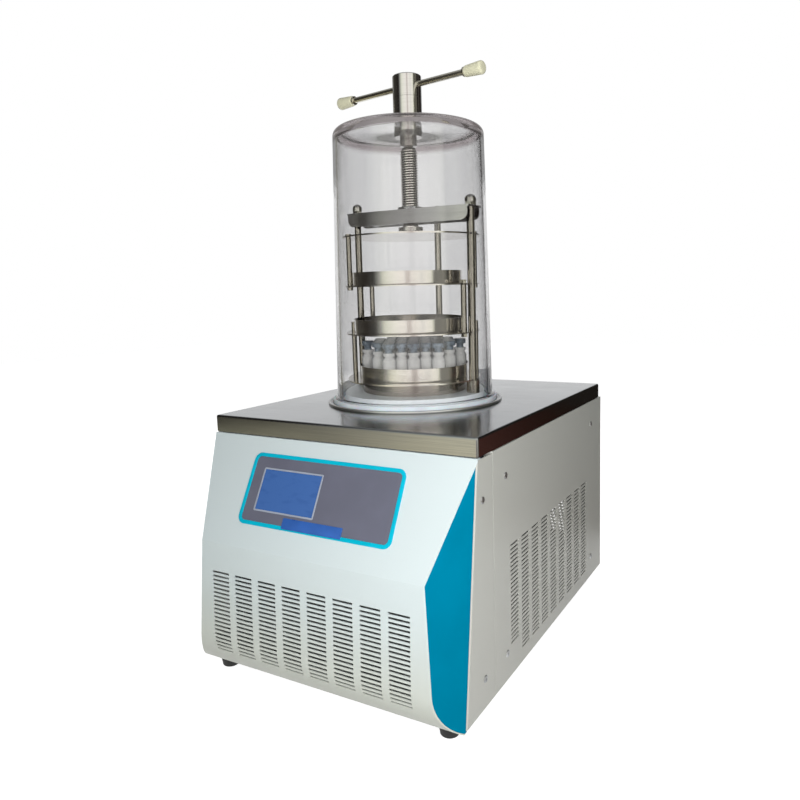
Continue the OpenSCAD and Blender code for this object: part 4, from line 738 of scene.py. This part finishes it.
# %% Handle's bar and knobs
BAR_HEIGHT, BAR_TURN, BAR_SHIFT = 514.4, math.radians(-9), -2.2
KNOB_START, KNOB_LENGTH = 119.5, 32.5
BAR_RADIUS, BAR_IN_KNOB = 4.75, 16
COLLAR_RADIUS, COLLAR_LENGTH = 7.5, 4
BAR_OUTLINE = [
    (BAR_RADIUS, 0),
    (BAR_RADIUS, KNOB_START - COLLAR_LENGTH),
    (COLLAR_RADIUS, KNOB_START - COLLAR_LENGTH),
    (COLLAR_RADIUS, KNOB_START),
    (BAR_RADIUS, KNOB_START + 1),
    (BAR_RADIUS, KNOB_START + BAR_IN_KNOB),
    (0, KNOB_START + BAR_IN_KNOB),
]
KNOB_OUTLINE = [(0, 0), (8.4, 0), (10.4, KNOB_LENGTH), (0, KNOB_LENGTH)]


def joined(meshes):
    """Several bmeshes as one."""
    whole = bmesh.new()
    for mesh in meshes:
        part = bpy.data.meshes.new("part")
        mesh.to_mesh(part)
        mesh.free()
        whole.from_mesh(part)
        bpy.data.meshes.remove(part)
    return whole


def on_bar(outline, rounds, start, side):
    """A turned piece laid along the handle's bar, from start outwards, on side +1 or -1."""
    mesh = turned_piece(outline, rounds, steps=48)
    outwards = BAR_TURN + (math.pi if side < 0 else 0)
    lie = Matrix.Rotation(outwards, 4, "Z") @ Matrix.Rotation(math.pi / 2, 4, "Y")
    along = Vector((math.cos(BAR_TURN), math.sin(BAR_TURN), 0)) * (side * start + BAR_SHIFT) * MM
    return put(mesh, CHAMBER + along + Vector((0, 0, BAR_HEIGHT * MM)), lie)


halves = [on_bar(BAR_OUTLINE, {2: 0.8, 3: 0.8}, 0, side) for side in (1, -1)]
finished(
    joined(halves),
    "cross_bar",
    "screw_steel",
    "handle",
    ["t_bar"],
    finish=turned("bar_steel", (0.60, 0.58, 0.50), rough=0.22),
)
knobs = [on_bar(KNOB_OUTLINE, {1: 1.5, 2: 4.5}, KNOB_START, side) for side in (1, -1)]
finished(joined(knobs), "cream_knobs", "cream_plastic", "handle", ["knobs"])

# %% Acorn nuts
NUT_ANGLES = (0, 94, 180)
HEX_RADIUS, NUT_BORE = 8.75, 6.1
HEX_OUTLINE = [(NUT_BORE, 0), (HEX_RADIUS, 0), (HEX_RADIUS, 6), (NUT_BORE, 6)]
DOME_OUTLINE = [(0, 17.4), (8.5, 17.4), (8.5, 5.4), (NUT_BORE, 5.4), (NUT_BORE, 9.4), (0, 9.4)]
nuts_low, nuts_high = (Vector(corner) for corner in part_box("cap_nuts"))
nut_reach = (nuts_high.x - nuts_low.x) / 2 - HEX_RADIUS * MM
nut_places = [
    Vector(
        (CHAMBER.x + nut_reach * math.cos(turn), CHAMBER.y + nut_reach * math.sin(turn), nuts_low.z)
    )
    for turn in (math.radians(degrees) for degrees in NUT_ANGLES)
]
nuts = [
    put(turned_piece(HEX_OUTLINE, {2: 0.5}, closed=True, steps=6), place) for place in nut_places
]
nuts += [put(turned_piece(DOME_OUTLINE, {1: 8.3}, steps=48), place) for place in nut_places]
finished(
    joined(nuts),
    "acorn_nuts",
    "polished",
    "machine",
    ["cap_nuts"],
    finish=turned("nut_steel", (0.62, 0.61, 0.58), rough=0.12),
)

# %% Feet
FOOT_RADIUS, FOOT_HEIGHT = 16, 22
HOLLOW_RADIUS, HOLLOW_DEPTH = 6.25, 11
FOOT_OUTLINE = [
    (HOLLOW_RADIUS, 0),
    (12.5, 0),
    (FOOT_RADIUS, FOOT_HEIGHT),
    (0, FOOT_HEIGHT),
    (0, HOLLOW_DEPTH),
    (HOLLOW_RADIUS, HOLLOW_DEPTH),
]
feet_low, feet_high = (Vector(corner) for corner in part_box("feet"))
foot_in = FOOT_RADIUS * MM
foot_places = [
    Vector((x, y, 0))
    for x in (feet_low.x + foot_in, feet_high.x - foot_in)
    for y in (feet_low.y + foot_in, feet_high.y - foot_in)
]
FOOT_ROUNDS = {0: 0.8, 1: 2.0, 2: 1.0}
feet = [
    put(turned_piece(FOOT_OUTLINE, FOOT_ROUNDS, closed=True, steps=48), place) for place in foot_places
]
finished(joined(feet), "rubber_feet", "rubber", "machine", ["feet"])

# %% [markdown]
# ## Eased edges
# No moulded or pressed part has a knife edge, and the thin bright line along a real edge is what makes
# it look made. Here the solid's own shape is right, so a copy of it is merged, its sharp edges are
# collected by their angle, and one bevel eases them by a few tenths of a millimetre.

# %% Pieces with eased edges
FLAT_ANGLE, SHARP_ANGLE = math.radians(1), math.radians(50)


def eased(node, name, width):
    """A copy of one of the machine's solids with its sharp edges eased by width in millimetres."""
    mesh = bmesh.new()
    mesh.from_mesh(NODES[node].data)
    bmesh.ops.remove_doubles(mesh, verts=mesh.verts, dist=1e-5)
    bmesh.ops.dissolve_limit(
        mesh,
        angle_limit=FLAT_ANGLE,
        use_dissolve_boundaries=False,
        verts=mesh.verts,
        edges=mesh.edges,
    )
    edges = [e for e in mesh.edges if len(e.link_faces) == 2 and e.calc_face_angle() > SHARP_ANGLE]
    bmesh.ops.bevel(
        mesh,
        geom=edges,
        offset=width * MM,
        segments=3,
        profile=0.5,
        affect="EDGES",
        clamp_overlap=True,
        material=-1,
    )
    bmesh.ops.triangulate(mesh, faces=[face for face in mesh.faces if len(face.verts) > 4])
    return finished(mesh, name, SLOT_OF[node], "machine", [node], sharp=25)


eased("display_frame", "crowned_band", 0.8)
eased("screen_bezel", "eased_bezel", 0.3)
eased("label_strip", "eased_strip", 0.4)

# %% [markdown]
# ## Light
# The studio is a pale floor under a pale sky. Anything seen straight or through the clear bell meets
# pure white behind the object. The light that falls on the object stays at a plain level: one soft lamp
# close to the front right, which falls off along the side, a weak one at the front left, and a large
# one behind on the left, which lights the rear and the left side.

# %% Sky and floor


def largest(tree, sockets):
    """The largest of several numbers, as a socket."""
    total = sockets[0]
    for socket in sockets[1:]:
        most = tree.nodes.new("ShaderNodeMath")
        most.operation = "MAXIMUM"
        tree.links.new(total, most.inputs[0])
        tree.links.new(socket, most.inputs[1])
        total = most.outputs[0]
    return total


def seen_directly(tree):
    """1 for rays that should meet pure white: from the camera, from a mirror or through glass."""
    path = tree.nodes.new("ShaderNodeLightPath").outputs
    return largest(tree, [path["Is Camera Ray"], path["Is Glossy Ray"], path["Is Transmission Ray"]])


def sky(level):
    """A white sky that lights the object at the given level."""
    world = bpy.data.worlds.new("sky")
    world.use_nodes = True
    tree = world.node_tree
    backdrop = tree.nodes["Background"]
    backdrop.inputs["Color"].default_value = (1, 1, 1, 1)
    strength = tree.nodes.new("ShaderNodeMix")
    strength.inputs["A"].default_value = level
    strength.inputs["B"].default_value = 1.0
    tree.links.new(seen_directly(tree), strength.inputs["Factor"])
    tree.links.new(strength.outputs["Result"], backdrop.inputs["Strength"])
    bpy.context.scene.world = world


def staged(mesh, name, material):
    """Puts a bmesh in the scene as part of the studio."""
    data = bpy.data.meshes.new(name)
    mesh.to_mesh(data)
    mesh.free()
    data.materials.append(material)
    obj = bpy.data.objects.new(name, data)
    bpy.context.scene.collection.objects.link(obj)
    return obj


def floor(size, albedo, glow):
    """A pale floor that keeps a soft shadow and is otherwise white to the camera."""
    sheet = bmesh.new()
    bmesh.ops.create_grid(sheet, x_segments=1, y_segments=1, size=size)
    pale = Finish("pale_floor", Roughness=0.9)
    pale.surface((albedo,) * 3)
    pale.feed(pale.shader.inputs["Emission Color"], (1, 1, 1))
    lit = Wire(pale, seen_directly(pale.tree)) * glow
    pale.feed(pale.shader.inputs["Emission Strength"], lit)
    staged(sheet, "floor", pale.material)


print("the studio can be built")

# %% [markdown]
# ## Boards for the steel
# Steel shows only what stands round it. A studio therefore puts boards beside a steel object: dark ones
# at the sides draw the dark flanks of a polished cylinder, and a pale one in front fills its middle.
# The boards here are seen in reflections alone, cast no shadow and light nothing. Their colours
# are given by the angle from FACING, the side from which the object is mostly seen.

# %% One curved board
FACING = -59.3
BOARD_REACH, BRIGHTEST = 141, 1.42


def surround(name, outline, colours, start=-BOARD_REACH, end=BOARD_REACH):
    """A curved board round the object, through the (radius, height) points and from start to end in
    degrees from FACING. Its colours change smoothly from one (angle, colour) to the next."""
    mesh = bmesh.new()
    ends = [mesh.verts.new((radius, 0, height)) for radius, height in outline]
    for first, second in zip(ends, ends[1:]):
        mesh.edges.new((first, second))
    turn = Matrix.Rotation(math.radians(FACING + start), 3, "Z")
    bmesh.ops.rotate(mesh, verts=mesh.verts, cent=(0, 0, 0), matrix=turn)
    bmesh.ops.spin(
        mesh,
        geom=mesh.verts[:] + mesh.edges[:],
        cent=(0, 0, 0),
        axis=(0, 0, 1),
        dvec=(0, 0, 0),
        angle=math.radians(end - start),
        steps=72,
        use_merge=False,
        use_duplicate=False,
    )
    paper = Finish(name)
    turned_back = (0, 0, -math.radians(FACING))
    spot = paper.add("Mapping", {}, {"Vector": paper.place, "Rotation": turned_back})
    x, y = (paper.add("SeparateXYZ", {}, {"Vector": spot}, out=axis) for axis in (0, 1))
    share = y.math("ARCTAN2", x) / (2 * math.pi) + 0.5
    stops = [((degrees + 180) / 360, tuple(c / BRIGHTEST for c in tone)) for degrees, tone in colours]
    colour = paper.add("ValToRGB", {"stops": stops}, {"Fac": share})
    shown = paper.add("Emission", {}, {"Color": colour, "Strength": BRIGHTEST})
    clear = paper.add("BsdfTransparent", {}, {})
    bounced = paper.add("LightPath", {}, {}, out="Glossy Depth").math("MINIMUM", 1.0)
    either = paper.add("MixShader", {}, {0: bounced, 1: clear, 2: shown})
    paper.tree.links.new(either.socket, paper.tree.nodes["Material Output"].inputs["Surface"])
    paper.material.cycles.emission_sampling = "NONE"
    obj = staged(mesh, name, paper.material)
    for unseen in ("camera", "diffuse", "shadow", "volume_scatter"):
        setattr(obj, "visible_" + unseen, False)


print("boards face", FACING, "degrees")

# %% Soft lamp


def soft_lamp(name, place, aim, size, watts):
    """A square area lamp at place that points at aim, and is left out of reflections."""
    light = bpy.data.lights.new(name, "AREA")
    light.shape, light.size, light.energy = "SQUARE", size, watts
    lamp = bpy.data.objects.new(name, light)
    place = Vector(place)
    turn = (place - Vector(aim)).to_track_quat("Z", "Y").to_matrix().to_4x4()
    lamp.matrix_world = Matrix.Translation(place) @ turn
    lamp.visible_glossy = lamp.visible_transmission = False
    bpy.context.scene.collection.objects.link(lamp)


print("lamps point at the object and aren't seen in it")

# %% Colours of the boards
DARK = (0.026, 0.0215, 0.0185)
BOARDS = [
    (-180, (1.0, 1.0, 1.0)),
    (-141, (0.30, 0.29, 0.25)),
    (-125, (0.07, 0.065, 0.055)),
    (-69, DARK),
    (-63, (0.22, 0.22, 0.21)),
    (-56, (0.52, 0.52, 0.49)),
    (-50, (0.90, 0.92, 0.78)),
    (-40, (1.30, 1.30, 1.14)),
    (-20, (1.42, 1.38, 1.28)),
    (-7, (1.40, 1.34, 1.26)),
    (-2.5, (0.92, 0.84, 0.79)),
    (2.5, (0.92, 0.84, 0.79)),
    (7, (1.42, 1.36, 1.28)),
    (18, (1.42, 1.38, 1.28)),
    (26, (1.25, 1.22, 1.15)),
    (34, (1.42, 1.38, 1.28)),
    (45, (1.42, 1.40, 1.24)),
    (49, (1.10, 1.10, 0.92)),
    (53, (0.15, 0.145, 0.115)),
    (78, (0.21, 0.20, 0.16)),
    (83, DARK),
    (98, DARK),
    (103, (0.15, 0.14, 0.12)),
    (108, DARK),
    (141, (0.022, 0.018, 0.014)),
    (180, (1.0, 1.0, 1.0)),
]
SKIRT = [
    (-141, (0.18, 0.17, 0.11)),
    (-76, (0.66, 0.61, 0.42)),
    (-63, (0.56, 0.50, 0.35)),
    (-46, (1.42, 1.28, 0.90)),
    (-30, (0.90, 0.78, 0.62)),
    (-15, (0.66, 0.54, 0.46)),
    (-10, (0.17, 0.14, 0.12)),
    (10, (0.17, 0.14, 0.12)),
    (15, (0.62, 0.51, 0.44)),
    (28, (0.55, 0.48, 0.41)),
    (34, (1.2, 1.18, 1.0)),
    (46, (1.2, 1.18, 1.0)),
    (53, (0.22, 0.23, 0.19)),
    (98, (0.20, 0.09, 0.068)),
    (107, (0.155, 0.062, 0.047)),
    (118, (0.045, 0.017, 0.013)),
    (129, (0.012, 0.011, 0.006)),
]
print(len(BOARDS), "colours round the object,", len(SKIRT), "below them")

# %% The studio
NEAR, WIDE = 0.6, 1.5
BENCH, BOARD_TOP = 0.15, 2.2
sky(0.215)
floor(6.0, 0.50, 0.86)
soft_lamp("front_right", (0.66, -1.03, 0.62), (0, 0, 0.28), 0.6, 10.7)
soft_lamp("left_fill", (-1.5, -1.3, 1.2), (0, 0, 0.4), 1.2, 1.0)
soft_lamp("rear_fill", (-1.2, 1.5, 1.0), (0, 0, 0.3), 1.2, 24)
surround("boards", ((WIDE, BENCH), (WIDE, BOARD_TOP)), BOARDS)
surround("skirt", ((NEAR, 0.002), (WIDE, 0.002), (WIDE, BENCH)), SKIRT)
REAR, ALL_ROUND = (BOARD_REACH, 360 - BOARD_REACH), (-180, 180)
SHEETS = [
    ("rear_low", 0.93, ((WIDE, 0.1), (WIDE, 0.6)), REAR),
    ("rear_middle", 0.80, ((WIDE, 0.6), (WIDE, 0.95)), REAR),
    ("rear_high", 0.35, ((WIDE, 0.95), (WIDE, BOARD_TOP)), REAR),
    ("ceiling", 0.45, ((WIDE, BOARD_TOP), (0.05, 2.5)), ALL_ROUND),
]
for sheet, level, outline, turns in SHEETS:
    grey = (level,) * 3
    surround(sheet, outline, [(-180, grey), (180, grey)], *turns)
bpy.context.scene.view_settings.view_transform = "Standard"
